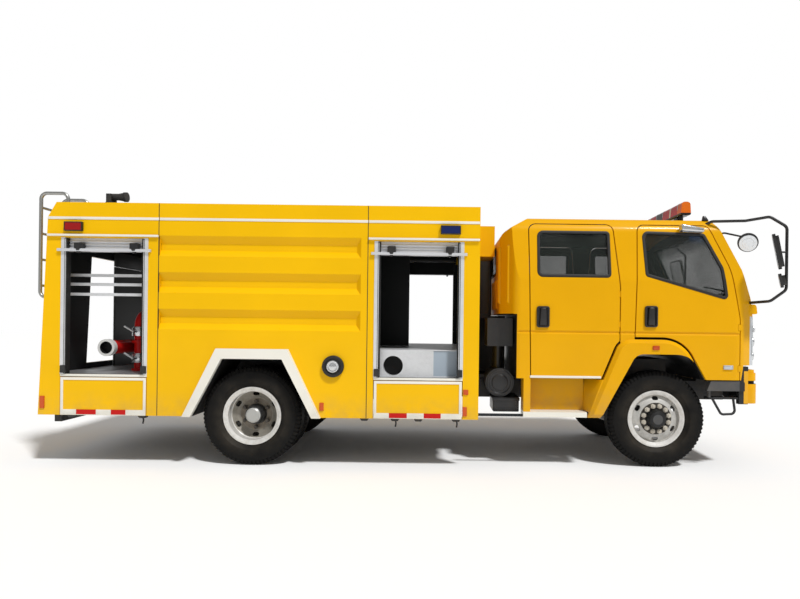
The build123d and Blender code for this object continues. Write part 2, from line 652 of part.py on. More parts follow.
# Rolled-up shutters: slats on a drum with a lift bar, in aluminium posts
POST_W = 45.0
POST_IN = 1085.0
POST_OUT = 1155.0
CURTAIN_OUT = 1106.0
CURTAIN_T = 12.0
SLOT_D = 25.0
SLOT_GAP = 3.0
LIFT_DROP = 135.0
LIFT_H = 26.0
LIFT_T = 20.0
LIFT_OVER = 30.0
DRUM_RISE = 125.0
SHUTTER_R = 100.0
SLAT_R = 11.0
SLAT_PITCH = 30.0
SLAT_COUNT = 3
LIFT_Z = OPEN_TOP - LIFT_DROP
SHUTTER_Z = OPEN_TOP + DRUM_RISE


def shutter(x0, x1):
    a = x0 + POST_W - SLOT_D + SLOT_GAP
    b = x1 - POST_W + SLOT_D - SLOT_GAP
    curtain = block(a, b, -CURTAIN_OUT, -CURTAIN_OUT + CURTAIN_T, LIFT_Z, SHUTTER_Z)
    curtain += rod_x(a, b, -CURTAIN_OUT + SHUTTER_R + SLOT_GAP, SHUTTER_Z, SHUTTER_R)
    for i in range(SLAT_COUNT):
        z = LIFT_Z + LIFT_H + SLAT_PITCH * (i + 0.5)
        curtain += rod_x(x0 + POST_W + SLOT_GAP, x1 - POST_W - SLOT_GAP, -CURTAIN_OUT, z, SLAT_R)
    bar = block(x0 + POST_W + SLOT_GAP, x1 - POST_W - SLOT_GAP, -POST_OUT - LIFT_T, -CURTAIN_OUT, LIFT_Z,
                LIFT_Z + LIFT_H)
    bar += block(x0 - LIFT_OVER, x1 + LIFT_OVER, -POST_OUT - LIFT_T, -POST_OUT, LIFT_Z, LIFT_Z + LIFT_H)
    return curtain + bar


def post(x, slot_x):
    shape = block(x, x + POST_W, -POST_OUT, -POST_IN, SILL_Z, OPEN_TOP)
    slot_y = -CURTAIN_OUT - SLOT_GAP
    return shape - block(slot_x, slot_x + SLOT_D, slot_y, slot_y + CURTAIN_T + SLOT_GAP * 2, SILL_Z, OPEN_TOP)


posts = []
shutters = []
for x0, x1 in ((REAR_OPEN_X0, REAR_OPEN_X1), (FRONT_OPEN_X0, FRONT_OPEN_X1)):
    posts += [post(x0, x0 + POST_W - SLOT_D), post(x1 - POST_W, x1 - POST_W)]
    shutters.append(shutter(x0, x1))
save("shutters", *pair(*shutters))
save("shutter_posts", *pair(*posts))

# Shelf rails and pump panel in the pump room
SHELF_OUT = 1010.0
SHELF_W = 30.0
SHELF_H = 28.0
SHELF_DROPS = (370.0, 460.0, 560.0)
PANEL_Y0 = -20.0
PANEL_Y1 = 830.0
PANEL_H = 1150.0
PANEL_T = 25.0
PANEL_IN = 110.0
GAUGE_R = 40.0
GAUGE_IN = 8.0
GAUGE_PITCH = 140.0
KNOB_R = 22.0
KNOB_L = 30.0
fittings = []
for drop in SHELF_DROPS:
    z = OPEN_TOP - drop
    fittings += pair(block(REAR_OPEN_X0 - 60, SEAM_REAR, -SHELF_OUT, -SHELF_OUT + SHELF_W, z, z + SHELF_H))
panel_x = BODY_REAR + PANEL_IN
panel = block(panel_x, panel_x + PANEL_T, PANEL_Y0, PANEL_Y1, SILL_Z, SILL_Z + PANEL_H)
for i in range(4):
    y = PANEL_Y0 + GAUGE_PITCH * (i + 1.5)
    for z in (SILL_Z + PANEL_H * 0.7, SILL_Z + PANEL_H * 0.83):
        panel -= rod_x(panel_x, panel_x + GAUGE_IN, y, z, GAUGE_R)
    panel += rod_x(panel_x - KNOB_L, panel_x, y, SILL_Z + PANEL_H * 0.45, KNOB_R)
fittings.append(panel)

# Equipment box across the front locker, with a round recess at each end, and the divider on it
LOCKER_BOX_H = 270.0
LOCKER_BOX_HALF = 1040.0
PORT_RUN = 245.0
PORT_UP = 110.0
PORT_R = 98.0
PORT_D = 60.0
COVER_RUN = 645.0
COVER_IN = 8.0
DIVIDER_L = 345.0
DIVIDER_HALF = 15.0
box_top = SILL_Z + LOCKER_BOX_H
locker_box = block(SEAM_FRONT, BODY_FRONT - SKIN, -LOCKER_BOX_HALF, LOCKER_BOX_HALF, SILL_Z, box_top)
locker_box += block(SEAM_FRONT, SEAM_FRONT + DIVIDER_L, -DIVIDER_HALF, DIVIDER_HALF, box_top, ROOF_Z)
port = rod_y(SEAM_FRONT + PORT_RUN, -LOCKER_BOX_HALF, -LOCKER_BOX_HALF + PORT_D, SILL_Z + PORT_UP, PORT_R)
cover = block(SEAM_FRONT + COVER_RUN, BODY_FRONT - SKIN, -LOCKER_BOX_HALF, -LOCKER_BOX_HALF + COVER_IN,
              SILL_Z + COVER_IN, box_top - COVER_IN)
for cut in pair(port, cover):
    locker_box -= cut
save("locker_fittings", *fittings, locker_box)

# Fire pump with its suction and delivery pipes
SUCTION_RUN = 530.0
SUCTION_UP = 250.0
SUCTION_R = 62.5
SUCTION_PIPE_R = 70.0
SUCTION_RING_R = 86.0
SUCTION_END = 920.0
SUCTION_DEPTH = 60.0
PUMP_R = 190.0
PUMP_UP = 310.0
PUMP_HALF = 190.0
FOOT_HALF = 130.0
DELIVERY_RUN = 730.0
DELIVERY_Y = 640.0
DELIVERY_R = 50.0
DELIVERY_H = 590.0
FLANGE_H = 24.0
suction_x = BODY_REAR + SUCTION_RUN
suction_z = SILL_Z + SUCTION_UP
delivery_x = BODY_REAR + DELIVERY_RUN
pump_x = suction_x + PUMP_HALF - STRAP_L / 2
pump = rod_x(pump_x - PUMP_HALF, pump_x + PUMP_HALF, 0, SILL_Z + PUMP_UP, PUMP_R)
pump += block(pump_x - FOOT_HALF, pump_x + FOOT_HALF, -PUMP_R, PUMP_R, SILL_Z, SILL_Z + PUMP_UP)
pump += rod_y(suction_x, -SUCTION_END + SUCTION_DEPTH, SUCTION_END - SUCTION_DEPTH, suction_z, SUCTION_PIPE_R)
pump += tube([(delivery_x, -DELIVERY_Y, SILL_Z), (delivery_x, -DELIVERY_Y, SILL_Z + DELIVERY_H),
              (delivery_x, DELIVERY_Y, SILL_Z + DELIVERY_H), (delivery_x, DELIVERY_Y, SILL_Z)], DELIVERY_R,
             120)
for s in (-1, 1):
    for z in (SILL_Z, SILL_Z + DELIVERY_H / 2):
        pump += rod_z(delivery_x, s * DELIVERY_Y, z, z + FLANGE_H, DELIVERY_R + FLANGE_H)
    pump += (rod_y(suction_x, s * SUCTION_END - SUCTION_DEPTH, s * SUCTION_END + SUCTION_DEPTH, suction_z,
                   SUCTION_RING_R)
             & block(BODY_REAR, SEAM_REAR, -SUCTION_END, SUCTION_END, SILL_Z, OPEN_TOP))
for s in (-1, 1):
    pump -= rod_y(suction_x, s * SUCTION_END - SUCTION_DEPTH, s * SUCTION_END + SUCTION_DEPTH, suction_z,
                  SUCTION_R)
save("fire_pump", pump)

# Ladder on the rear wall, right side, with its rails over the roof's edge
RUNG_R = 13.0
RUNG_COUNT = 4
RUNG_PITCH = 260.0
LADDER_RISE = 115.0
LADDER_H = 1040.0
LADDER_BEND = 60.0
LADDER_Y = (-1000.0, -660.0)
ladder_top = BODY_TOP + LADDER_RISE
ladder_foot = ladder_top - LADDER_H
roof_foot = ROOF_REAR + SKIN / 2
sides = []
for y in LADDER_Y:
    line = [(rear_face_x(ladder_foot), y, ladder_foot), (LADDER_REAR, y, ladder_foot),
            (LADDER_REAR, y, ladder_top),
            (roof_foot, y, ladder_top), (roof_foot, y, BODY_TOP)]
    sides.append(tube(line, LADDER_R, LADDER_BEND))
ladder = sides[0] + sides[1]
for i in range(RUNG_COUNT):
    ladder += rod_y(LADDER_REAR, *LADDER_Y, ladder_foot + RUNG_PITCH * (i + 0.45), RUNG_R)
save("ladder", ladder - rear_wall)

# Roof monitor: base, turning elbow and barrel
MON_RUN = 370.0
MON_Y = -560.0
MON_BASE_R = 95.0
MON_BASE_T = 18.0
MON_NECK_R = 42.0
MON_NECK_H = 100.0
MON_SPIGOT_R = 20.0
MON_SPIGOT_H = 40.0
MON_BODY_R = 58.0
MON_BODY_H = 50.0
MON_ARM_H = 110.0
MON_PIN_R = 14.0
MON_YOKE = 60.0
MON_CHEEK_T = 16.0
MON_CHEEK_HALF = 26.0
MON_BARREL_R = 36.0
MON_BARREL_L = 80.0
MON_NOZZLE_R = 52.0
MON_NOZZLE_L = 90.0
mon_x = BODY_REAR + MON_RUN
mon_turn_z = ROOF_TOP + MON_NECK_H
mon_axis_z = mon_turn_z + MON_ARM_H
base = rod_z(mon_x, MON_Y, ROOF_TOP, ROOF_TOP + MON_BASE_T, MON_BASE_R)
base += rod_z(mon_x, MON_Y, ROOF_TOP, mon_turn_z, MON_NECK_R)
base += rod_z(mon_x, MON_Y, mon_turn_z, mon_turn_z + MON_SPIGOT_H, MON_SPIGOT_R)
save("monitor_base", base)
turret = rod_z(mon_x, MON_Y, mon_turn_z + FIT, mon_turn_z + MON_BODY_H, MON_BODY_R)
turret -= rod_z(mon_x, MON_Y, mon_turn_z, mon_turn_z + MON_SPIGOT_H + 1, MON_SPIGOT_R + FIT)
for y in (MON_Y - MON_YOKE, MON_Y + MON_YOKE - MON_CHEEK_T):
    turret += block(mon_x - MON_CHEEK_HALF, mon_x + MON_CHEEK_HALF, y, y + MON_CHEEK_T,
                    mon_turn_z + MON_CHEEK_T, mon_axis_z + MON_CHEEK_HALF)
turret += rod_y(mon_x, MON_Y - MON_YOKE, MON_Y + MON_YOKE, mon_axis_z, MON_PIN_R)
save("monitor_turret", turret)
nozzle = rod_x(mon_x - MON_BARREL_R, mon_x + MON_BARREL_L, MON_Y, mon_axis_z, MON_BARREL_R)
nozzle += Pos(mon_x + MON_BARREL_L + MON_NOZZLE_L / 2, MON_Y, mon_axis_z) * Rot(0, 90, 0) * Cone(
    MON_BARREL_R, MON_NOZZLE_R, MON_NOZZLE_L)
nozzle -= rod_y(mon_x, MON_Y - MON_YOKE, MON_Y + MON_YOKE, mon_axis_z, MON_PIN_R + FIT)
save("monitor_barrel", nozzle)

# Cab form: side, front and plan outlines cut into one another; rows end in a corner radius
ROOF_OVER = CAB_ROOF + 4
SLOPE_H = 230.0
WIDE = CAB_HALF + 170
roof_front_run = SCREEN_FOOT_RUN - (ROOF_OVER - SCREEN_FOOT_Z) * SCREEN_RAKE
cab_side = [
    (-1430, CAB_FLOOR), (-1430, LEDGE_Z), (CAB_BACK_RUN, LEDGE_Z), (CAB_BACK_RUN, CAB_ROOF - SLOPE_H, 100),
    (-1200, ROOF_OVER, 300), (roof_front_run, ROOF_OVER, 320), (SCREEN_FOOT_RUN, SCREEN_FOOT_Z, 150),
    (NOSE_RUN, BELT_Z - 57, 250), (NOSE_FOOT_RUN, NOSE_Z), (840, NOSE_Z), (810, CAB_FLOOR)]
cab_flank = [
    (CAB_HALF, AXLE_Z), (CAB_HALF, BELT_Z - 20), (CAB_HALF - 12, BELT_Z - 6), (CAB_HALF, BELT_Z + 14),
    (CAB_HALF, WINDOW_SILL - 20, 200), (CAB_HALF - 64, WINDOW_TOP + 30, 150), (CAB_HALF - 140, ROOF_EDGE, 90)]
cab_plan = [(CAB_HALF - 240, CAB_BACK_RUN, 120), (CAB_HALF, -1450, 100), (CAB_HALF, 800, 200),
            (CAB_HALF - 150, 1005, 90)]
side_face = outline(from_axle(cab_side))
front_face = outline(mirrored(cab_flank, [(0, CAB_ROOF, CROWN_R)]))
plan_face = outline(plan_rows(cab_plan, [(0, BOW_RUN, BOW_R)]))
CAB_X0 = CAB_BACK - 100
CAB_X1 = fx(NOSE_RUN) + 100


def cab_form(inset):
    side, front, plan = [grown(f, -inset) if inset else f for f in (side_face, front_face, plan_face)]
    form = side_slab(side, -WIDE, WIDE) & end_slab(front, CAB_X0, CAB_X1)
    return form & plan_slab(plan, AXLE_Z, ROOF_OVER + 100)


# Front wheel arch and fender, and the shell between an outer and an inner form
FRONT_ARCH_Z = AXLE_Z + 658
FENDER_Z = AXLE_Z + 803
STEP_Z = 506.0
arch_line = outline(from_axle([
    (-600, STEP_Z - 11), (-250, FRONT_ARCH_Z, 120), (320, FRONT_ARCH_Z, 280), (495, 770),
    (495, STEP_Z - 11)]))
fender_line = outline(from_axle([
    (-720, STEP_Z), (-400, FENDER_Z, 160), (210, FENDER_Z, 330), (450, 860), (450, STEP_Z)]))
cab_out = cab_form(0) - side_slab(arch_line, -WIDE, WIDE)
cab_in = cab_form(CAB_WALL) - side_slab(grown(arch_line, CAB_WALL), -WIDE, WIDE)
shell = cab_out - cab_in
for recess in pair(side_slab(fender_line, -WIDE, -FENDER_IN)):
    shell -= recess
glass_layer = cab_form(GLASS_IN) - cab_form(GLASS_IN + GLASS_T)

# Doors: outlines, windows and hinge lines; a door is a piece of the wall layer only
DOOR_BASE = CAB_FLOOR + 5
FRONT_HINGE_RUN = 790.0
REAR_HINGE_RUN = -410.0
DOOR_DEPTH = 800.0
FENDER_GAP = 24.0
KNUCKLE_GAP = 2.0
LEAF_T = 8.0
LEAF_REACH = 12.0
front_door_rows = [(-235, DOOR_BASE), (FRONT_HINGE_RUN, DOOR_BASE), (FRONT_HINGE_RUN, BELT_Z + 143, 300),
                   (690, WINDOW_SILL + 100, 600), (480, DOOR_TOP, 60), (-222, DOOR_TOP, 70),
                   (-250, BELT_Z - 57)]
rear_door_rows = [(-1285, DOOR_BASE), (-570, DOOR_BASE), (REAR_HINGE_RUN, BELT_Z - 157, 80),
                  (REAR_HINGE_RUN, WINDOW_SILL - 100, 300), (-480, DOOR_TOP, 70), (-1315, DOOR_TOP, 70)]
front_window_rows = [(-185, WINDOW_TOP + 5, 60), (-155, WINDOW_SILL + 20, 40), (675, WINDOW_SILL - 215, 40),
                     (625, WINDOW_SILL + 110, 150), (445, WINDOW_TOP - 8, 50)]
rear_window_rows = [(-1235, WINDOW_TOP, 60), (-1235, WINDOW_SILL, 60), (-495, WINDOW_SILL, 40),
                    (-505, WINDOW_TOP, 40)]
lining = end_slab(grown(front_face, -CAB_WALL), CAB_X0, CAB_X1)
lining_gap = end_slab(grown(front_face, -CAB_WALL - DOOR_GAP), CAB_X0, CAB_X1)


def side_prism(face):
    return side_slab(face, -WIDE, -DOOR_DEPTH)


def door_set(rows, window_rows, hinge_run, hinge_zs):
    face = outline(from_axle(rows))
    window = outline(from_axle(window_rows))
    door = ((shell & side_prism(face)) - lining
            - side_prism(grown(fender_line, FENDER_GAP)) - side_prism(window))
    hole = side_prism(grown(face, DOOR_GAP)) - side_prism(fender_line) - lining_gap
    glass = glass_layer & side_prism(offset(window, amount=-FIT))
    edge = fx(hinge_run)
    x = edge - HINGE_IN
    y = -(CAB_HALF - HINGE_IN)
    pins = []
    for z in hinge_zs:
        half = HINGE_H / 2
        pins.append(rod_z(x, y, z - half, z + half, HINGE_R)
                    + rod_z(x, y, z - half - HINGE_PIN_L, z + half + HINGE_PIN_L, HINGE_PIN_R)
                    + block(x, edge + DOOR_GAP + LEAF_REACH, y - LEAF_T / 2, y + LEAF_T / 2, z - half,
                            z + half))
        half += KNUCKLE_GAP
        door -= rod_z(x, y, z - half, z + half, HINGE_R + KNUCKLE_GAP)
        door -= block(x, edge + KNUCKLE_GAP, -WIDE, y + LEAF_T, z - half, z + half)
        door -= rod_z(x, y, z - half - HINGE_PIN_L, z + half + HINGE_PIN_L, HINGE_PIN_R + FIT)
    return door, glass, hole, pins


doors = {
    "front": door_set(front_door_rows, front_window_rows, FRONT_HINGE_RUN, (CAB_FLOOR + 120, BELT_Z + 63)),
    "rear": door_set(rear_door_rows, rear_window_rows, REAR_HINGE_RUN, (BELT_Z + 83, WINDOW_SILL - 160)),
}
for place, (door, glass, hole, pins) in doors.items():
    shell = shell - hole - left(hole)
    save_sides(f"door_{place}", door)
    save_sides(f"door_glass_{place}", glass)


# Windscreen and back window
def pane(half_rows, x0, x1):
    hole = outline(mirrored(half_rows))
    glass = glass_layer & end_slab(offset(hole, amount=-FIT), x0, x1)
    return end_slab(hole, x0, x1), glass


SCREEN_HALF = 870.0
BACK_HALF = 420.0
screen_hole, screen = pane([(SCREEN_HALF, SCREEN_FOOT_Z + 52, 60), (SCREEN_HALF - 50, WINDOW_TOP + 30, 60)],
                           fx(330), CAB_X1)
back_hole, back_window = pane([(BACK_HALF, WINDOW_SILL + 60, 50), (BACK_HALF, WINDOW_TOP - 100, 50)],
                              CAB_X0, CAB_BACK + 140)
save("cab_glass", screen, back_window)

# Headlamps round the nose's corners and the grille between them, cut from the shell
LAMP_BACK_RUN = 935.0
LAMP_IN = 600.0
LAMP_TOP = NOSE_Z + 494
GRILLE_HALF = 570.0
GRILLE_Z = NOSE_Z + 20
GRILLE_H = 270.0
GRILLE_SLOTS = 4
GRILLE_SLOT_H = 34.0
GRILLE_PITCH = 60.0
lamp_rows = [(-WIDE, NOSE_Z - 10), (-LAMP_IN, NOSE_Z - 10), (-LAMP_IN - 80, GRILLE_Z + GRILLE_H, 60),
             (-LAMP_IN - 240, LAMP_TOP, 40), (-WIDE, LAMP_TOP)]
lamp_room = end_slab(outline(lamp_rows), fx(LAMP_BACK_RUN), CAB_X1)
lamp = shell & lamp_room
grille_room = block(fx(LAMP_BACK_RUN), CAB_X1, -GRILLE_HALF, GRILLE_HALF, GRILLE_Z, GRILLE_Z + GRILLE_H)
grille = shell & grille_room
for i in range(GRILLE_SLOTS):
    z = GRILLE_Z + GRILLE_PITCH * (i + 0.5)
    grille -= block(fx(NOSE_RUN) - CAB_WALL / 2, CAB_X1, -GRILLE_HALF + 40, GRILLE_HALF - 40, z,
                    z + GRILLE_SLOT_H)
shell = shell - screen_hole - back_hole - lamp_room - left(lamp_room) - grille_room

# Corner covers over the lamps, ribs pressed in the back wall, and the hinge pins
RIB_HALF = 30.0
RIB_OUT = 10.0
RIB_PITCH = 190.0
RIB_COUNT = 7
cover = side_slab(outline(from_axle([(880, LAMP_TOP + 16), (1013, LAMP_TOP + 26, 15),
                                     (1000, LAMP_TOP + 122, 30),
                                     (880, LAMP_TOP + 122)])), -SCREEN_HALF - 60, -SCREEN_HALF + 60)
for piece in pair(cover - cab_in):
    shell += piece
for i in range(RIB_COUNT):
    y = (i - (RIB_COUNT - 1) / 2) * RIB_PITCH
    shell += block(CAB_BACK - RIB_OUT, CAB_BACK + RIB_OUT, y - RIB_HALF, y + RIB_HALF, LEDGE_Z + 60,
                   WINDOW_SILL)
for place, (door, glass, hole, pins) in doors.items():
    for pin in pair(*pins):
        shell += pin
save("cab_shell", shell)
save("headlamps", *pair(lamp))
save("grille", grille)

# Front fenders, bevelled on the outer edge so that the doors swing past them
FENDER_CUT_RUN = 390.0
FENDER_CUT_Z = 800.0
FENDER_BEVEL = 36.0
fender = side_slab(fender_line, -FENDER_OUT, -FENDER_IN)
fender = chamfer(fender.faces().sort_by(Axis.Y)[0].edges(), FENDER_BEVEL)
fender -= side_slab(arch_line, -FENDER_OUT, -FENDER_IN)
fender -= block(fx(FENDER_CUT_RUN), fx(NOSE_RUN), -FENDER_OUT, -FENDER_IN, 0, FENDER_CUT_Z)
save("front_fenders", *pair(fender))

# Step wells and plates under the rear doors, with the side bar behind them
WELL_BACK_RUN = -1359.0
WELL_FRONT_RUN = -725.0
WELL_IN = 840.0
WELL_T = 20.0
WELL_POST_L = 69.0
PLATE_H = 50.0
BAR_H = 25.0
BAR_OUT = 1010.0
well_x0 = fx(WELL_BACK_RUN)
well_x1 = fx(WELL_FRONT_RUN)
well = block(well_x0, well_x1, -WELL_IN - WELL_T, -WELL_IN, STEP_Z, CAB_FLOOR)
well += block(well_x0, well_x0 + WELL_POST_L, -CAB_HALF, -WELL_IN, STEP_Z, CAB_FLOOR)
well += block(well_x0, well_x1, -CAB_HALF, -WELL_IN, STEP_Z, STEP_Z + PLATE_H)
well += block(BODY_FRONT, well_x0, -BAR_OUT, -BAR_OUT + BAR_H, STEP_Z, STEP_Z + BAR_H)
save("cab_steps", *pair(well))

# Bumper: bowed bands round the nose, open at the back, on the frame's ends
BUMPER_T = 60.0
BUMPER_HALF = 940.0
BUMPER_BACK_RUN = 900.0
BUMPER_Z = 654.0
bumper_bands = ((0.0, 196.0, 0.0), (196.0, 230.0, 18.0), (230.0, 306.0, 4.0), (306.0, 338.0, 18.0))
bumper_plan = [(BUMPER_HALF, BUMPER_BACK_RUN, 0), (BUMPER_HALF, 1030, 80)]
bumper_face = outline(plan_rows(bumper_plan, [(0, 1050, BOW_R)]))
bumper = None
for low, high, inset in bumper_bands:
    band = plan_slab(grown(bumper_face, -inset) if inset else bumper_face, BUMPER_Z + low, BUMPER_Z + high)
    bumper = band if bumper is None else bumper + band
bumper_top = BUMPER_Z + bumper_bands[-1][1]
bumper -= plan_slab(grown(bumper_face, -BUMPER_T), BUMPER_Z, bumper_top)
bumper -= block(fx(BUMPER_BACK_RUN), fx(BUMPER_BACK_RUN) + BUMPER_T, -BUMPER_HALF + BUMPER_T,
                BUMPER_HALF - BUMPER_T,
                BUMPER_Z, bumper_top)
bumper += block(FRAME_FRONT, fx(1000), -RAIL_OUT, RAIL_OUT, FRAME_Z + CLAMP_HALF, FRAME_TOP)
save("front_bumper", bumper)

# Corner steps ahead of the front wheels: sill trim, pan, corner panel and a wire loop
TRIM_OUT = 1020.0
TRIM_T = 60.0
CORNER_OUT = 1000.0
LOOP_R = 12.0
LOOP_BEND = 40.0
PAN_Z = 700.0
PAN_H = 20.0
TRIM_Z = 785.0
trim_rows = [(470, TRIM_Z), (510, CAB_FLOOR - 5), (850, CAB_FLOOR - 5, 30), (850, TRIM_Z)]
corner_step = side_slab(outline(from_axle(trim_rows)), -TRIM_OUT, -TRIM_OUT + TRIM_T)
panel_rows = [(800, BUMPER_Z), (890, BUMPER_Z), (890, NOSE_Z - 10), (840, NOSE_Z - 10, 20), (800, CAB_FLOOR)]
corner_step += side_slab(outline(from_axle(panel_rows)), -CORNER_OUT, -BUMPER_HALF)
corner_step += block(fx(840), fx(BUMPER_BACK_RUN), -CORNER_OUT + TRIM_T / 2, -BUMPER_HALF + BUMPER_T, PAN_Z,
                     TRIM_Z)
corner_step += block(fx(500), fx(840), -TRIM_OUT + TRIM_T / 2, -BUMPER_HALF + BUMPER_T, PAN_Z, PAN_Z + PAN_H)
corner_step += block(fx(500), fx(520), -TRIM_OUT + TRIM_T / 2, -TRIM_OUT + TRIM_T, PAN_Z, TRIM_Z + PAN_H)
loop = tube([(fx(536), -CORNER_OUT + LOOP_R, PAN_Z + PAN_H / 2), (fx(629), -CORNER_OUT + LOOP_R, 548),
             (fx(770), -CORNER_OUT + LOOP_R, 556), (fx(747), -CORNER_OUT + LOOP_R, PAN_Z + PAN_H / 2)],
            LOOP_R, LOOP_BEND)
save("corner_steps", *pair(corner_step - cab_out + loop))

# Light bar on the cab roof
BAR_Z = ROOF_EDGE + 99
BAR_TALL = 143.0
BAR_HALF = 640.0
BAR_FOOT_Y = 440.0
BAR_FOOT_HALF = 40.0
bar_rows = [(340, BAR_Z, 20), (450, BAR_Z, 20), (440, BAR_Z + BAR_TALL, 35), (352, BAR_Z + BAR_TALL, 35)]
light_bar = side_slab(outline(from_axle(bar_rows)), -BAR_HALF, BAR_HALF)
for piece in pair(block(fx(360), fx(430), -BAR_FOOT_Y - BAR_FOOT_HALF, -BAR_FOOT_Y + BAR_FOOT_HALF,
                        ROOF_EDGE, BAR_Z)):
    light_bar += piece - cab_out
save("light_bar", light_bar)

# Mirrors: a bent tube at each front corner with two housings, and a round one on the right
ARM_BEND = 60.0
MIRROR_Y = -1200.0
MIRROR_YAW = 28.0
MIRROR_LEAN = -12.0
CASE_T = 26.0
CASE_STEP = 40.0
STALK_R = 9.0
arm_rows = [(440, -860, WINDOW_TOP + 70), (530, -950, DOOR_TOP + 47), (812, -1060, DOOR_TOP + 38),
            (1000, -1160, DOOR_TOP + 63), (MIRROR_RUN, MIRROR_Y, DOOR_TOP - 40),
            (MIRROR_RUN, MIRROR_Y, SCREEN_FOOT_Z + 82), (1030, -1130, SCREEN_FOOT_Z - 26),
            (900, -880, SCREEN_FOOT_Z - 38)]
housings = ((1035, WINDOW_TOP - 215, 190, 345, 40), (1078, WINDOW_SILL - 24, 160, 135, 30))
frame_tube = tube(from_axle(arm_rows), MIRROR_TUBE_R, ARM_BEND)
for run, z, width, height, corner in housings:
    case = extrude(Plane.YZ * RectangleRounded(width, height, corner), amount=CASE_T)
    case += extrude(Plane.YZ * RectangleRounded(width - CASE_STEP, height - CASE_STEP, corner),
                    amount=CASE_T * 2)
    frame_tube += Pos(fx(run), MIRROR_Y, z) * Rot(0, MIRROR_LEAN, -MIRROR_YAW) * case
    frame_tube += rod_x(fx(run) + CASE_T, fx(MIRROR_RUN) - STALK_R, MIRROR_Y, z, STALK_R)
ROUND_R = 95.0
ROUND_T = 40.0
ROUND_TURN = (-65.0, 20.0, 0.0)
round_arm = [(570, -860, WINDOW_TOP - 20), (650, -960, WINDOW_TOP + 2), (800, -1010, WINDOW_TOP - 40),
             (858, -1020, WINDOW_TOP - 95)]
round_mirror = Pos(fx(860), -1020, WINDOW_TOP - 100) * Rot(*ROUND_TURN) * (
    Cylinder(ROUND_R, ROUND_T / 2) + Pos(0, 0, -ROUND_T / 2) * Cone(ROUND_R / 2, ROUND_R, ROUND_T / 2))
round_mirror += tube(from_axle(round_arm), STALK_R, LOOP_BEND)
save("mirrors", *pair(frame_tube - cab_out), round_mirror - cab_out)

# Seats, dashboard and steering wheel
SEAT_HALF = 230.0
SEAT_ZS = (FRONT_ARCH_Z + CAB_WALL, FRONT_ARCH_Z + 255, FRONT_ARCH_Z + 855)
BENCH_HALF = 880.0
DASH_HALF = 930.0
DASH_H = 340.0
WHEEL_TILT = 30.0
WHEEL_Y = 500.0
WHEEL_R = 220.0
WHEEL_TUBE_R = 16.0
COLUMN_R = 26.0
seat_low, seat_top, back_top = SEAT_ZS
seats = []
for y in (-560.0, 0.0, 520.0):
    seat = block(fx(-220), fx(280), y - SEAT_HALF, y + SEAT_HALF, seat_low, seat_top)
    seats.append(seat + block(fx(-250), fx(-120), y - SEAT_HALF, y + SEAT_HALF, seat_top - 100, back_top))
bench = block(fx(-1360), fx(-900), -BENCH_HALF, BENCH_HALF, CAB_FLOOR + CAB_WALL, BELT_Z + 23)
bench += block(fx(-1360), fx(-1230), -BENCH_HALF, BENCH_HALF, BELT_Z - 57, WINDOW_SILL + 80)
save("seats", *seats, bench)
dash = block(fx(550), fx(810), -DASH_HALF, DASH_HALF, BELT_Z - 57, BELT_Z - 57 + DASH_H) & cab_in
dash += block(fx(700), fx(760), -DASH_HALF, DASH_HALF, CAB_FLOOR + CAB_WALL, BELT_Z - 57) & cab_in
wheel_z = BELT_Z + DASH_H
wheel = Torus(WHEEL_R, WHEEL_TUBE_R) + Cylinder(WHEEL_TUBE_R * 3, WHEEL_TUBE_R * 2.5)
wheel += Box(WHEEL_R * 2, WHEEL_TUBE_R * 2, WHEEL_TUBE_R)
column = Pos(fx(430), WHEEL_Y, wheel_z) * Rot(0, -WHEEL_TILT, 0) * wheel
column += tube([(fx(420), WHEEL_Y, wheel_z + 18), (fx(590), WHEEL_Y, BELT_Z + 73),
                (fx(610), WHEEL_Y, BELT_Z + 23)],
               COLUMN_R, 5)
save("dashboard", dash + column)

# Warning lamps on the sides, tail and corner lamps on the rear wall
LAMP_OUT = 30.0
SIDE_LAMPS = ((BODY_REAR + 338, BODY_TOP - 239, 165.0, 80.0), (BODY_FRONT - 288, BODY_TOP - 230, 186.0, 75.0))
REAR_LAMPS = ((955.0, BODY_TOP - 275, 130.0, 90.0, 40.0), (720.0, BODY_Z + 60, 300.0, 90.0, 25.0))
lamps = []
for x, z, length, height in SIDE_LAMPS:
    lamps.append(block(x - length / 2, x + length / 2, -HALF - LAMP_OUT, -HALF, z - height / 2,
                       z + height / 2))
for y, z, width, height, out in REAR_LAMPS:
    lamp_block = block(rear_face_x(z) - out, ROOF_REAR, -y - width, -y, z, z + height)
    lamps.append(lamp_block - side_slab(outline([*rear_line[:3], (0, BODY_TOP), (0, BODY_Z)]), -HALF, HALF))
save("side_lamps", *pair(*lamps))
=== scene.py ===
"""Foam fire truck: finishes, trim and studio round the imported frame."""
import math

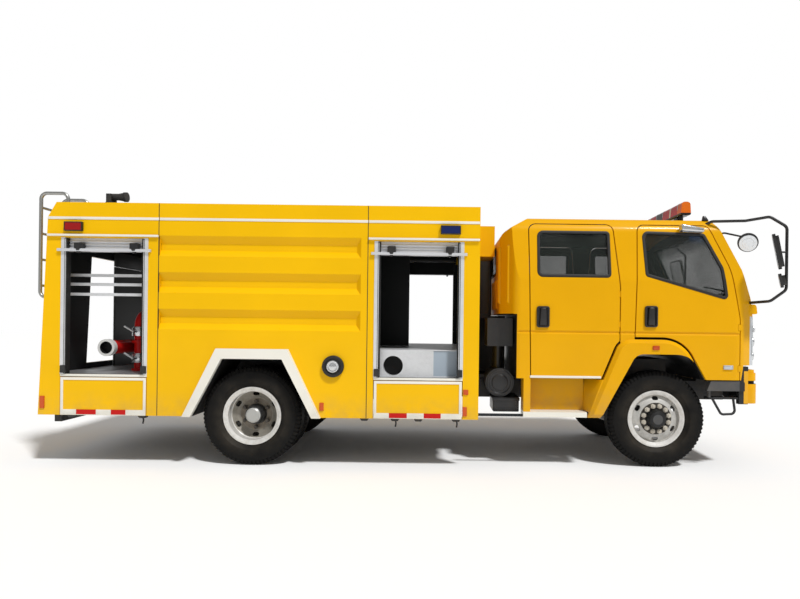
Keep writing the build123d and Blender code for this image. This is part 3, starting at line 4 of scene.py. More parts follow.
import bmesh
import bpy
from bpy.props import FloatProperty, FloatVectorProperty, PointerProperty
from bpy.types import Operator, Panel, PropertyGroup
from mathutils import Euler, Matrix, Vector


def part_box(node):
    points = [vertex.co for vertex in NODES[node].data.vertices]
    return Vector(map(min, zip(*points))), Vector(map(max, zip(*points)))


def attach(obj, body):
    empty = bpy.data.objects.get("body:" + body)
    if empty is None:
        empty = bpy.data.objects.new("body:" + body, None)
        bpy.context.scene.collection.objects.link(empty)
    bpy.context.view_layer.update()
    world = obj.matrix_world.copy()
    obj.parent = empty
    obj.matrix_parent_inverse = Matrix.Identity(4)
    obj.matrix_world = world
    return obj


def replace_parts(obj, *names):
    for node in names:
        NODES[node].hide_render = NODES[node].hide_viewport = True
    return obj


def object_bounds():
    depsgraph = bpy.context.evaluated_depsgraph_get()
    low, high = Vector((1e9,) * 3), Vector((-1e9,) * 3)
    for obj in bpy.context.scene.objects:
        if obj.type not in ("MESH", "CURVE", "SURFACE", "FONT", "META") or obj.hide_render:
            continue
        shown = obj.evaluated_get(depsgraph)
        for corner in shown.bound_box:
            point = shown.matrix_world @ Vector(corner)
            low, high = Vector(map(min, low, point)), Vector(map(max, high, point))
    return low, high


bl_info = {
    "name": "Foam Fire Truck",
    "version": (1, 0, 0),
    "blender": (4, 5, 0),
    "location": "View3D > Sidebar > Fire Truck",
    "description": "Finishes, trim and studio for a crew-cab foam fire truck",
    "category": "Object",
}

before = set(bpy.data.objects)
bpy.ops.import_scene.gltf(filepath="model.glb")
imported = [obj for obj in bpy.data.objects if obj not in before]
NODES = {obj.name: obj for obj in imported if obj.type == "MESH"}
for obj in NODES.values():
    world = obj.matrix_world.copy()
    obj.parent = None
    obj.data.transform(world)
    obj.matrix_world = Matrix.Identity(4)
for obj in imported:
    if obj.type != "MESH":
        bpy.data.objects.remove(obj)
CAD_LOW, CAD_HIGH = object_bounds()
SIDES = (("right", -1), ("left", 1))


# Places read from the frame, in metres
def middle(node):
    low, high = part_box(node)
    return (low + high) / 2


REAR_AXLE = middle("rear_tyres_right")
FRONT_AXLE = middle("front_tyre_right")
TYRE_LOW, TYRE_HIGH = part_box("front_tyre_right")
TYRE_R = (TYRE_HIGH.z - TYRE_LOW.z) / 2
TYRE_HALF = (TYRE_HIGH.y - TYRE_LOW.y) / 2
BODY_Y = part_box("tank_sides")[0].y
CAB_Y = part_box("cab_shell")[0].y
BODY_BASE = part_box("tank_sides")[0].z
BODY_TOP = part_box("tank_sides")[1].z
MODULES = {name: (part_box(name)[0].x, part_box(name)[1].x) for name in ("pump_room_sides", "tank_sides",
                                                                     "locker_sides")}

# Photograph's frame in pixels, its focal length and where its optical axis falls
PHOTO_W = 800
PHOTO_H = 599
PHOTO_FOCAL = 600
PHOTO_AXIS = (440, 325)
SENSOR_MM = 36.0


def along(x):
    """Frame X of a place that is given from the rear axle."""
    return REAR_AXLE.x + x


# Sizes and colours that a user would change
def colour(name, note, value):
    return FloatVectorProperty(name=name, description=note, subtype="COLOR", size=3, min=0, max=1,
                               default=value)


def length(name, note, value):
    return FloatProperty(name=name, description=note, subtype="DISTANCE", unit="LENGTH", default=value)


class TruckPaint(PropertyGroup):
    body: colour("Body", "Yellow of the body's steel sides", (0.87, 0.49, 0.002))
    cab: colour("Cab", "Yellow of the cab, a shade deeper", (0.77, 0.385, 0.002))
    trim: colour("Trim", "Cream white of stripes, rails and arch trims", (0.80, 0.78, 0.70))
    red: colour("Red", "Red of pump, pipes and tape", (0.52, 0.012, 0.010))
    black: colour("Black", "Black of plastic and rubber fittings", (0.012, 0.012, 0.013))
    # Near-black colour that paints the shade inside the lockers, the pump room and the body's arches
    recess_shade: colour("Recess shade", "Dark lining of lockers and pump room", (0.014, 0.015, 0.015))
    dust: colour("Dust", "Road dust on tyres and running gear", (0.23, 0.19, 0.14))


class TruckTrim(PropertyGroup):
    stripe_z: length("Stripe height", "Height of the cream stripe's middle", 2.410)
    stripe_h: length("Stripe width", "Width of the cream stripe", 0.026)
    rail_z: length("Drip rail height", "Height of the drip rails' middle", 2.242)
    rail_h: length("Drip rail depth", "Upright size of the drip rails", 0.020)
    rail_out: length("Drip rail reach", "How far the drip rails stand out", 0.024)
    seal: length("Window seal", "Width of the rubber round the panes", 0.030)
    frame: length("Flap frame", "Width of the white frame on the flaps", 0.026)
    lug_depth: length("Lug depth", "Depth of the notches between shoulder lugs", 0.009)


class TruckStudio(PropertyGroup):
    camera_x: length("Camera X", "Camera place along the truck", along(1.852))
    camera_y: length("Camera Y", "Camera place across the truck", -7.0)
    camera_z: length("Camera height", "Camera height over the ground", 1.41)
    camera_roll: FloatProperty(name="Roll", description="Roll of the photograph's horizon", subtype="ANGLE",
                               default=math.radians(0.7))
    sun: FloatProperty(name="Key light", description="Strength of the soft key light", default=2.7)
    sky: FloatProperty(name="Sky", description="Strength of the even light from all round", default=0.38)


# Shader maths on sockets
class Socket:
    """A node's output, with the operators that the finishes use."""

    def __init__(self, finish, output):
        self.finish = finish
        self.output = output

    def maths(self, operation, *others):
        values = dict(enumerate((self, *others)))
        return self.finish.node("ShaderNodeMath", {"operation": operation}, values)

    def __add__(self, other):
        return self.maths("ADD", other)

    def __mul__(self, other):
        return self.maths("MULTIPLY", other)

    __rmul__ = __mul__

    def __sub__(self, other):
        return self.maths("SUBTRACT", other)

    def __rsub__(self, other):
        return self.finish.node("ShaderNodeMath", {"operation": "SUBTRACT"}, {0: other, 1: self})

    def __gt__(self, other):
        return self.maths("GREATER_THAN", other)

    def __lt__(self, other):
        return self.maths("LESS_THAN", other)

    def __pow__(self, other):
        return self.maths("POWER", other)

    def __abs__(self):
        return self.maths("ABSOLUTE")

    def between(self, low, high):
        """0 below low, 1 above high, and a straight rise between them."""
        limits = {"Value": self, "From Min": low, "From Max": high}
        return self.finish.node("ShaderNodeMapRange", {"clamp": True}, limits)

    def leaning(self, low, high, reach):
        """0 below low, reach above high, and a straight rise between them."""
        return self.between(low, high) * reach

    def inside(self, low, high):
        """1 from low to high and 0 elsewhere."""
        return (self > low) * (self < high)


class Finish:
    """A procedural material with one Principled shader."""

    def __init__(self, name, **sockets):
        self.material = bpy.data.materials.new(name)
        self.material.use_nodes = True
        self.tree = self.material.node_tree
        self.shader = self.tree.nodes["Principled BSDF"]
        self.set(**sockets)

    def wire(self, socket, value):
        if isinstance(value, Socket):
            self.tree.links.new(value.output, socket)
        elif hasattr(socket.default_value, "__len__") and len(socket.default_value) == 4 and len(value) == 3:
            socket.default_value = (*value, 1)
        else:
            socket.default_value = value

    def node(self, kind, settings=None, sockets=None, output=0):
        made = self.tree.nodes.new(kind)
        for key, value in (settings or {}).items():
            setattr(made, key, value)
        for key, value in (sockets or {}).items():
            self.wire(made.inputs[key], value)
        return Socket(self, made.outputs[output])

    def set(self, **sockets):
        for key, value in sockets.items():
            self.wire(self.shader.inputs[key.replace("_", " ").title().replace("Ior", "IOR")], value)
        return self

    def place(self, stretch=(1, 1, 1)):
        where = self.node("ShaderNodeTexCoord", output="Object")
        if stretch == (1, 1, 1):
            return where
        return self.node("ShaderNodeMapping", {}, {"Vector": where, "Scale": stretch})

    def axis(self, letter):
        split = self.node("ShaderNodeSeparateXYZ", {}, {0: self.place()})
        return Socket(self, split.output.node.outputs[letter])

    def looks(self, letter):
        """How far the surface looks along an axis, from -1 to 1."""
        normal = self.node("ShaderNodeNewGeometry", output="Normal")
        split = self.node("ShaderNodeSeparateXYZ", {}, {0: normal})
        return Socket(self, split.output.node.outputs[letter])

    def run(self):
        """X from the rear axle."""
        return self.axis("X") - REAR_AXLE.x

    def out(self):
        """Distance from the truck's middle plane."""
        return abs(self.axis("Y"))

    def from_axle(self, axle):
        """Distance from an axle's line."""
        return ((self.axis("X") - axle.x) ** 2 + (self.axis("Z") - axle.z) ** 2) ** 0.5

    def around(self, x, z, radius):
        """1 within a radius of a place on the truck's side and 0 elsewhere."""
        return ((self.run() - x) ** 2 + (self.axis("Z") - z) ** 2) ** 0.5 < radius

    def noise(self, scale, detail=3, rough=0.5, stretch=(1, 1, 1)):
        sockets = {"Vector": self.place(stretch), "Scale": scale, "Detail": detail, "Roughness": rough}
        return self.node("ShaderNodeTexNoise", {}, sockets)

    def mix(self, amount, first, second):
        made = self.tree.nodes.new("ShaderNodeMix")
        made.data_type = "RGBA"
        for name, value in (("Factor", amount), ("A", first), ("B", second)):
            sockets = [s for s in made.inputs if s.name == name and s.enabled]
            self.wire(sockets[0], value)
        return Socket(self, [s for s in made.outputs if s.enabled][0])

    def bump(self, height, strength, distance):
        normal = self.node("ShaderNodeBump", {},
                           {"Height": height, "Strength": strength, "Distance": distance})
        return self.set(normal=normal)


def shade(value, factor):
    return tuple(v * factor for v in value)


# Places where one sheet has two finishes, in metres, with X from the rear axle
RECESS_Y = 1.098
DECK_Z = 2.531
REAR_FACE = -2.045
REAR_LEAN = 0.04
REAR_CHAMFER = (2.42, 2.565, 0.08)
FRONT_FACE = 2.215
CAB_SKIN = 0.03
DOOR_SKIN = 0.035
CAB_REAR = 2.46
CAB_FRONT = 4.995
# Where a face of the cab begins to lean, where it ends, and how far it has come in by then
WAIST_LEAN = (1.88, 2.40, 0.064)
CANT_LEAN = (2.40, 2.508, 0.076)
SCREEN_LEAN = (1.708, 2.708, 0.485)
BACK_LEAN = (2.333, 2.579, 0.39)
ROOF_FALL = (4.0, 4.62, 0.07)
ROOF_Z = 2.562
ROOF_CAMBER = 0.063
LEDGE_Z = (1.529, 1.531)
LEDGE_IN = 0.16
# Planes that cut the cab's corners: how far X moves in for each metre out, and X on the middle plane
REAR_CORNER = (0.583, 2.04)
FRONT_CORNER = (1.367, 6.218)
CAB_ARCH_TOP = 1.30
CAB_ARCH_RUN = (3.40, 4.66)
CAB_FLOOR = 0.893
REAR_ARCH_TOP = 1.08
REAR_ARCH_RUN = (-0.85, 0.85)
PORT = (1.390, 1.000, 0.0975)
SUCTION = (-1.530, 1.140, 0.0635)
STEP_BACK = 2.69


# Painted shade: faces inside the body's sides take the near-black recess colour
def behind_side(f):
    return (f.out() < RECESS_Y) * (f.axis("Z") < DECK_Z)


# Painted shade: faces inside the end walls take the near-black recess colour
def between_ends(f):
    z = f.axis("Z")
    lean = (z - BODY_BASE) * REAR_LEAN + z.leaning(*REAR_CHAMFER)
    return (f.run() - lean > REAR_FACE) * (f.run() < FRONT_FACE) * (z < DECK_Z)


def within_flanks(f, skin):
    """Inside the cab's flanks by the thickness of a skin."""
    z = f.axis("Z")
    return f.out() + z.leaning(*WAIST_LEAN) + z.leaning(*CANT_LEAN) < -CAB_Y - skin


def cab_inside(f):
    z = f.axis("Z")
    screen = f.run() + z.leaning(*SCREEN_LEAN)
    ledge = (1 - z.between(*LEDGE_Z)) * LEDGE_IN
    front = screen < CAB_FRONT - CAB_SKIN
    back = f.run() - z.leaning(*BACK_LEAN) - ledge > CAB_REAR + CAB_SKIN
    roof = z + f.axis("Y") ** 2 * ROOF_CAMBER + f.run().leaning(*ROOF_FALL) < ROOF_Z - CAB_SKIN
    rear_corner = f.run() - f.out() * REAR_CORNER[0] > REAR_CORNER[1]
    front_corner = screen + f.out() * FRONT_CORNER[0] < FRONT_CORNER[1]
    return within_flanks(f, CAB_SKIN) * front * back * roof * rear_corner * front_corner


def cab_under(f):
    arch = (f.axis("Z") < CAB_ARCH_TOP) * f.run().inside(*CAB_ARCH_RUN)
    return ((arch + (f.axis("Z") < CAB_FLOOR)) > 0.5) * (f.out() < -CAB_Y - 0.01)


# Painted shade: the lower back of the cab is coloured black where the gap behind it lies in shadow
def cab_back(f):
    return (f.axis("Z") < 1.534) * (f.run() < 2.66) * (f.out() < 1.0)


def door_inside(f):
    return within_flanks(f, DOOR_SKIN)


def faces_axle(f, axle):
    across_x = f.looks("X") * (axle.x - f.axis("X"))
    return across_x + f.looks("Z") * (axle.z - f.axis("Z")) > 0.1


def under_arch(f):
    return faces_axle(f, FRONT_AXLE)


# Painted shade: body faces that look towards the rear axle under the arch take the near-black recess colour
def rear_arch(f):
    return faces_axle(f, REAR_AXLE) * (f.axis("Z") < REAR_ARCH_TOP) * f.run().inside(*REAR_ARCH_RUN)


def bumper_end(f):
    return (f.run() > 4.898) * f.axis("Z").inside(0.66, 0.985)


def bumper_band(f):
    return f.axis("Z").inside(0.849, 0.885) * (f.out() < 0.925)


# Black on the bumper's brackets, and painted shade on the faces that look backwards
def bumper_back(f):
    brackets = (f.run() < 5.045) * (f.out() < 0.45)
    return brackets + (f.looks("X") < -0.3) > 0.5


# Painted shade: faces that look towards the truck's middle take the near-black recess colour
def inward(f):
    return f.looks("Y") * f.axis("Y") < -0.2


# Painted shade: the port's bore, deeper than its face, is coloured near-black
def box_port(f):
    return f.around(*PORT) * (f.out() < 1.036)


def box_cover(f):
    return (f.run() > 1.792) * f.axis("Z").inside(0.899, 1.151) * f.out().inside(1.0, 1.0335)


# Painted shade: the front locker's upper divider and the pump panel take the near-black recess colour
def shaded_boards(f):
    divider = (f.run() > 1.1) * (f.axis("Z") > 1.162)
    return divider + f.run().inside(-1.946, -1.9)


# Finishes
def paint(name, tone, p, low, high, patches=()):
    """Gloss vehicle paint: faint mottling, orange peel, dust low down, and plain patches where masks say."""
    f = Finish(name, coat_roughness=0.1, specular_ior_level=0.07)
    mottle = f.noise(1.3, 4).between(0.3, 0.7)
    base = f.mix(mottle, shade(tone, 0.95), shade(tone, 1.03))
    dusty = (1 - f.axis("Z").between(low, high)) * f.noise(6, 6, 0.65).between(0.35, 0.75) * 0.4
    base = f.mix(dusty, base, p.dust)
    gloss = 0.12
    for where, patch in patches:
        mask = where(f)
        base = f.mix(mask, base, patch)
        gloss = gloss * (1 - mask)
    f.set(base_color=base, coat_weight=gloss, roughness=f.noise(18, 3).between(0.2, 0.8) * 0.1 + 0.26)
    return f.bump(f.noise(260, 2), 0.03, 0.002)


def metal(name, tone, rough, grain=(1, 1, 1), dirt=None, amount=0.3, patches=(), bare=0.85):
    """Bare metal with a drawn grain, a film of dirt, and patches of other colours where masks say, painted
    shade among them.
    """
    f = Finish(name, specular_ior_level=0.15)
    lines = f.noise(60, 4, 0.6, grain)
    base = f.mix(lines.between(0.3, 0.7), shade(tone, 0.85), tone)
    if dirt is not None:
        base = f.mix(f.noise(9, 6, 0.7).between(0.45, 0.7) * amount, base, dirt)
    for where, patch in patches:
        mask = where(f)
        base = f.mix(mask, base, patch)
        bare = bare * (1 - mask)
    f.set(base_color=base, metallic=bare, roughness=lines * 0.2 + (rough - 0.1))
    return f.bump(lines, 0.08, 0.001)


def dark(name, tone, rough, dirt, amount, peel=400, patches=()):
    """Black paint or moulded plastic with a fine grain and some dust."""
    f = Finish(name)
    film = f.noise(7, 6, 0.7).between(0.4, 0.8) * amount
    base = f.mix(film, tone, dirt)
    for where, patch in patches:
        base = f.mix(where(f), base, patch)
    f.set(base_color=base, roughness=film * 0.3 + rough)
    return f.bump(f.noise(peel, 2), 0.12, 0.001)


def tyre_rubber(p):
    """Rubber with a thin film of dust, browner on the walls near the rim."""
    f = Finish("tyre_rubber", roughness=0.6, specular_ior_level=0.12)
    film = f.noise(14, 6, 0.7).between(0.35, 0.75) * 0.10
    base = f.mix(film, (0.006, 0.006, 0.006), shade(p.dust, 0.25))
    r = f.from_axle(FRONT_AXLE).maths("MINIMUM", f.from_axle(REAR_AXLE))
    ring = (1 - r.between(0.30, 0.42)) * f.noise(5, 4).between(0.35, 0.75) * 0.5
    f.set(base_color=f.mix(ring, base, shade(p.dust, 0.35)))
    return f.bump(f.noise(300, 3), 0.15, 0.001)


def wheel_steel(name, p, axle, hub, nuts, disc, tip, tip_r):
    """Silver rim with a dusty disc, a ring of nuts and a hub, told apart by distance from the axle."""
    f = Finish(name, metallic=0.25)
    r = f.from_axle(axle)
    grime = f.noise(22, 6, 0.7).between(0.4, 0.75)
    silver = f.mix(grime * 0.4, (0.68, 0.67, 0.64), shade(p.dust, 1.2))
    base = f.mix(r < 0.235, silver, f.mix(grime, disc, shade(disc, 0.7)))
    base = f.mix(r < 0.160, base, f.mix(grime, nuts, shade(nuts, 0.6)))
    base = f.mix(r < 0.1045, base, hub)
    base = f.mix(r < tip_r, base, tip)
    f.set(base_color=base, roughness=grime * 0.25 + 0.36)
    return f.bump(f.noise(120, 3), 0.06, 0.002)


def window_glass():
    """Tinted glass with a blue sun band along the upper edge of what lies in front."""
    f = Finish("window_glass", roughness=0.03, coat_weight=0.5)
    haze = f.noise(3, 3).between(0.3, 0.8)
    tint = f.mix(haze, (0.008, 0.012, 0.009), (0.020, 0.028, 0.022))
    band = f.axis("Z").between(2.25, 2.33) * (f.run() > 4.35)
    return f.set(base_color=f.mix(band, tint, (0.02, 0.05, 0.11)), alpha=haze * 0.10 + band * 0.25 + 0.40)


def lens(name, tone, patches=()):
    """Ribbed lamp lens, of one colour or with coloured fields."""
    f = Finish(name, roughness=0.12, coat_weight=0.3, specular_ior_level=0.25)
    ribs = f.node("ShaderNodeTexWave", {"bands_direction": "X"}, {"Vector": f.place(), "Scale": 28.0})
    base = f.mix(ribs * 0.35, tone, shade(tone, 0.45))
    for where, patch in patches:
        base = f.mix(where(f), base, f.mix(ribs * 0.35, patch, shade(patch, 0.45)))
    f.set(base_color=base)
    return f.bump(ribs, 0.25, 0.003)


def chequer_plate():
    """Raised tread plate, scuffed where people walk."""
    f = Finish("chequer_plate", metallic=0.8, roughness=0.42)
    cells = f.node("ShaderNodeTexVoronoi", {"distance": "CHEBYCHEV"},
                   {"Vector": f.place((1, 1, 0)), "Scale": 26.0})
    raised = 1 - cells.between(0.12, 0.3)
    f.set(base_color=f.mix(f.noise(5, 5).between(0.35, 0.75) * 0.4, (0.52, 0.53, 0.54), (0.24, 0.23, 0.21)))
    return f.bump(raised, 0.5, 0.003)


def seat_cloth():
    """Woven seat cloth with sewn channels across the cushions."""
    f = Finish("seat_cloth", roughness=0.9)
    weave = f.node("ShaderNodeTexWave", {"bands_direction": "DIAGONAL"},
                   {"Vector": f.place(), "Scale": 160.0})
    channels = f.node("ShaderNodeTexWave", {"bands_direction": "Y"}, {"Vector": f.place(), "Scale": 3.4})
    base = f.mix(weave, (0.035, 0.036, 0.040), (0.075, 0.076, 0.082))
    f.set(base_color=f.mix((channels < 0.03) * 0.6, base, (0.012, 0.012, 0.013)))
    return f.bump(weave * 0.15 + channels.between(0.0, 0.12), 0.4, 0.004)


def gauge_face():
    """White dial with scattered dark marks."""
    f = Finish("gauge_face", roughness=0.3, coat_weight=0.7)
    ticks = f.noise(90, 1) > 0.58
    return f.set(base_color=f.mix(ticks * 0.5, (0.75, 0.75, 0.72), (0.06, 0.06, 0.06)))


def make_finishes(p):
    black, recess_shade = tuple(p.black), tuple(p.recess_shade)
    cloth_grey, floor_grey, silver = (0.050, 0.050, 0.046), (0.030, 0.032, 0.035), (0.60, 0.60, 0.58)
    red, amber, blue = (0.55, 0.010, 0.008), (0.80, 0.17, 0.006), (0.006, 0.017, 0.11)
    return {
        "body": paint("body_paint", p.body, p, 0.45, 0.75, [(behind_side, recess_shade), (rear_arch, recess_shade)]),
        "ends": paint("end_wall_paint", p.body, p, 0.45, 0.75, [(between_ends, recess_shade)]),
        "flap": paint("flap_paint", p.body, p, 0.45, 0.75),
        "cab": paint("cab_paint", p.cab, p, 0.5, 0.9,
                     [(cab_inside, cloth_grey), (cab_under, black), (cab_back, black)]),
        "door": paint("door_paint", p.cab, p, 0.5, 0.9, [(door_inside, cloth_grey)]),
        "fender": paint("fender_paint", p.cab, p, 0.5, 0.9, [
            (under_arch, black),
            (lambda f: (f.run() > 4.31) * (f.axis("Z") < 0.955), floor_grey)]),
        "steps": paint("step_paint", p.cab, p, 0.5, 0.9, [
            (lambda f: (f.run() > STEP_BACK) * (f.axis("Z") < 0.558), tuple(p.trim)),
            (lambda f: f.run() < STEP_BACK, floor_grey)]),
        "bumper": paint("bumper_paint", p.cab, p, 0.5, 0.9, [
            (bumper_band, black), (bumper_back, black)]),
        "trim": paint("trim_paint", p.trim, p, 0.4, 0.8),
        "tape": paint("tape_red", p.red, p, 0.2, 0.3),
        "red": paint("pump_red", p.red, p, 0.6, 0.9, [
            (lambda f: f.out() > 0.858, silver),
            # Black inside the suction pipe's bore is painted shade
            (lambda f: f.around(*SUCTION) * (f.out() < 0.919), black)]),
        "chassis": dark("chassis_black", (0.016, 0.016, 0.017), 0.5, shade(p.dust, 0.5), 0.5, 200),
        "plastic": dark("black_plastic", black, 0.32, shade(p.dust, 0.4), 0.2),
        "rubber": dark("seal_rubber", (0.008, 0.008, 0.008), 0.55, shade(p.dust, 0.3), 0.2),
        "grey": dark("grey_plastic", (0.060, 0.061, 0.064), 0.55, p.dust, 0.25, 400,
                     [(lambda f: f.run() > 4.845, black), (lambda f: f.axis("Z") < 0.72, black),
                      (bumper_end, tuple(p.cab))]),
        # Painted shade: near-black finish for what lies deep inside the lockers and pump room
        "inside": dark("compartment_lining", recess_shade, 0.55, (0.04, 0.04, 0.04), 0.4),
        "iron": dark("cast_iron", (0.05, 0.05, 0.05), 0.65, shade(p.dust, 0.6), 0.6, 150),
        "aluminium": metal("aluminium", (0.78, 0.79, 0.80), 0.36, (1, 1, 30), (0.3, 0.3, 0.3), 0.15,
                           [(inward, recess_shade)], 0.4),
        "fittings": metal("fittings_metal", (0.76, 0.77, 0.78), 0.36, (1, 1, 30), (0.3, 0.3, 0.3), 0.2, [
            (box_port, (0.004, 0.004, 0.004)), (box_cover, (0.36, 0.42, 0.48)), (shaded_boards, recess_shade)], 0.4),
        "ladder": metal("ladder_steel", (0.42, 0.42, 0.40), 0.34),
        "pale_nut": dark("dusty_nuts", (0.55, 0.51, 0.43), 0.5, shade(p.dust, 0.8), 0.8, 150),
        "dark_nut": dark("rusty_nuts", (0.050, 0.044, 0.036), 0.5, shade(p.dust, 0.6), 0.5, 150),
        "slats": metal("shutter_slats", (0.74, 0.75, 0.77), 0.38, (1, 1, 12), patches=[(inward, recess_shade)],
                       bare=0.4),
        "mirror": metal("mirror_glass", (0.80, 0.82, 0.84), 0.12),
        "chrome": metal("bright_metal", (0.70, 0.71, 0.72), 0.2),
        "tyre": tyre_rubber(p),
        "front_wheel": wheel_steel("front_wheel_steel", p, FRONT_AXLE, (0.010, 0.010, 0.010),
                                   (0.060, 0.052, 0.042),
                                   (0.54, 0.53, 0.50), (0.07, 0.07, 0.07), 0.050),
        "rear_wheel": wheel_steel("rear_wheel_steel", p, REAR_AXLE, (0.03, 0.03, 0.03), (0.20, 0.17, 0.13),
                                  (0.27, 0.25, 0.21), (0.42, 0.42, 0.40), 0.074),
        "glass": window_glass(),
        "red_lens": lens("red_lens", (0.34, 0.006, 0.006), [(lambda f: f.run() > 0, blue)]),
        "amber_lens": lens("amber_lens", amber),
        "orange_lens": lens("orange_lens", (0.62, 0.085, 0.006)),
        "glass_dome": lens("lamp_glass", (0.12, 0.13, 0.14)),
        "clear_lens": lens("clear_lens", (0.58, 0.61, 0.63)),
        "bar_lens": lens("light_bar_lens", red, [
            (lambda f: f.out() > 0.53, amber), (lambda f: f.out().inside(0.30, 0.345), (0.75, 0.75, 0.72)),
            (lambda f: f.out() < 0.10, (0.05, 0.05, 0.05)), (lambda f: f.axis("Z") < 2.632, black)]),
        "chequer": chequer_plate(),
        "cloth": seat_cloth(),
        "dial": gauge_face(),
    }


# Finishes by name, and the CAD nodes that wear each finish
NODE_FINISH = {
    "body": ("pump_room_sides", "locker_sides", "tank_sides"),
    "ends": ("end_walls",),
    "flap": ("flap_rear_right", "flap_rear_left", "flap_front_right", "flap_front_left"),
    "cab": ("cab_shell",),
    "door": ("door_front_right", "door_front_left", "door_rear_right", "door_rear_left"),
    "fender": ("front_fenders",),
    "steps": ("cab_steps",),
    "bumper": ("front_bumper",),
    "trim": ("arch_trims",),
    "red": ("fire_pump",),
    "chassis": ("chassis_frame", "front_axle", "leaf_springs", "rear_axle", "air_tank_and_silencer",
                "monitor_base",
                "monitor_turret", "monitor_barrel"),
    "plastic": ("air_cleaner", "wheel_housings", "grille", "mirrors", "dashboard"),
    "grey": ("corner_steps",),
    # The foam tank's ends, seen inside the lockers, wear painted shade
    "inside": ("foam_tank",),
    "iron": ("engine", "knuckle_right", "knuckle_left"),
    "aluminium": ("fuel_tank", "shutter_posts"),
    "fittings": ("locker_fittings",),
    "ladder": ("ladder",),
    "slats": ("shutters",),
    "tyre": ("front_tyre_right", "front_tyre_left", "rear_tyres_right", "rear_tyres_left"),
    "front_wheel": ("front_rim_right", "front_rim_left"),
    "rear_wheel": ("rear_rims_right", "rear_rims_left"),
    "glass": ("cab_glass", "door_glass_front_right", "door_glass_front_left", "door_glass_rear_right",
              "door_glass_rear_left"),
    "red_lens": ("side_lamps",),
    "bar_lens": ("light_bar",),
    "clear_lens": ("headlamps",),
    "chequer": ("body_roof", "body_floor"),
    "cloth": ("seats",),
}
FINISH = {}


def wear(piece, finish):
    piece.data.materials.clear()
    piece.data.materials.append(FINISH[finish].material)


# Modelling helpers
def alone(*pieces):
    """Selects these pieces and nothing else."""
    bpy.ops.object.select_all(action="DESELECT")
    for piece in pieces:
        piece.select_set(True)
    if pieces:
        bpy.context.view_layer.objects.active = pieces[0]


def named(name):
    """Names the new piece and puts its place into its mesh."""
    piece = bpy.context.object
    piece.name = name
    bpy.ops.object.transform_apply(location=True, rotation=True, scale=True)
    return piece


def block(name, low, high):
    alone()
    low, high = Vector(map(min, low, high)), Vector(map(max, low, high))
    bpy.ops.mesh.primitive_cube_add(size=1, location=(low + high) / 2, scale=high - low)
    return named(name)


def run_block(name, low, high):
    """A block whose corners have their X from the rear axle."""
    return block(name, (along(low[0]), *low[1:]), (along(high[0]), *high[1:]))


TURNS = {"X": (0, math.pi / 2, 0), "Y": (math.pi / 2, 0, 0), "Z": (0, 0, 0)}


def drum(name, centre, radius, depth, axis="Y", sides=48):
    alone()
    bpy.ops.mesh.primitive_cylinder_add(vertices=sides, radius=radius, depth=depth, location=centre,
                                        rotation=TURNS[axis])
    return named(name)


def pick(piece, test, kind="FACE"):
    """Opens the piece for editing with only those faces or edges selected that pass the test."""
    alone(piece)
    bpy.ops.object.mode_set(mode="EDIT")
    bpy.ops.mesh.select_mode(type=kind)
    bpy.ops.mesh.select_all(action="DESELECT")
    mesh = bmesh.from_edit_mesh(piece.data)
    for part in mesh.faces if kind == "FACE" else mesh.edges:
        if test(part):
            part.select_set(True)
    bmesh.update_edit_mesh(piece.data)


def close():
    bpy.ops.object.mode_set(mode="OBJECT")


def anything(part):
    return True


# Angle in radians over which an edge is sharp, and least share of a normal for a face to look along an axis
SHARP = 0.6
FACING = 0.9


def sharp(edge, angle=SHARP):
    return len(edge.link_faces) == 2 and edge.calc_face_angle(0) > angle


def toward(axis, sign, least=0):
    """A test for faces that look along an axis and have at least some area."""
    index = "XYZ".index(axis)
    return lambda face: face.normal[index] * sign > FACING and face.calc_area() >= least


def both_ways(axis):
    """A test for faces that look either way along an axis."""
    index = "XYZ".index(axis)
    return lambda face: abs(face.normal[index]) > FACING


def runs(axis, least):
    """A test for edges that run some way along an axis."""
    index = "XYZ".index(axis)
    return lambda edge: abs(edge.verts[0].co[index] - edge.verts[1].co[index]) > least


def soften(piece, width, segments=2, test=sharp):
    pick(piece, test, "EDGE")
    bpy.ops.mesh.bevel(offset=width, segments=segments, affect="EDGES")
    close()
    return piece


def inset(piece, test, margin, rise):
    """Insets the faces that pass, then raises them, or sinks them where rise is negative."""
    pick(piece, test)
    bpy.ops.mesh.inset(thickness=margin, depth=0)
    bpy.ops.mesh.extrude_region_shrink_fatten(TRANSFORM_OT_shrink_fatten={"value": rise})
    close()
    return piece


def taper(piece, test, scale, centre):
    """Scales the faces that pass about a place."""
    pick(piece, test)
    bpy.ops.transform.resize(value=scale, center_override=centre)
    close()
    return piece


def shifted(piece, test, move, kind="FACE"):
    """Moves the faces or edges that pass."""
    pick(piece, test, kind)
    bpy.ops.transform.translate(value=move)
    close()
    return piece


def opened(piece, axis, width):
    """Cuts a block through along an axis, so that a frame of some width stays."""
    pick(piece, both_ways(axis))
    bpy.ops.mesh.inset(thickness=width, depth=0)
    bpy.ops.mesh.bridge_edge_loops()
    close()
    return piece


MERGE = 0.00002


def outward(piece):
    """Merges doubles and points every face out."""
    pick(piece, anything)
    bpy.ops.mesh.remove_doubles(threshold=MERGE)
    bpy.ops.mesh.normals_make_consistent(inside=False)
    close()
    return piece


def copied(piece, name, offset=(0, 0, 0), scale=(1, 1, 1)):
    alone(piece)
    bpy.ops.object.duplicate()
    bpy.context.object.location = offset
    bpy.context.object.scale = scale
    return named(name)


def across(piece, name):
    """A mirrored copy on the truck's other side."""
    return outward(copied(piece, name, scale=(1, -1, 1)))


def discard(piece):
    alone(piece)
    bpy.ops.object.delete()


def joined(name, pieces):
    alone(*pieces)
    if len(pieces) > 1:
        bpy.ops.object.join()
    pieces[0].name = name
    return pieces[0]


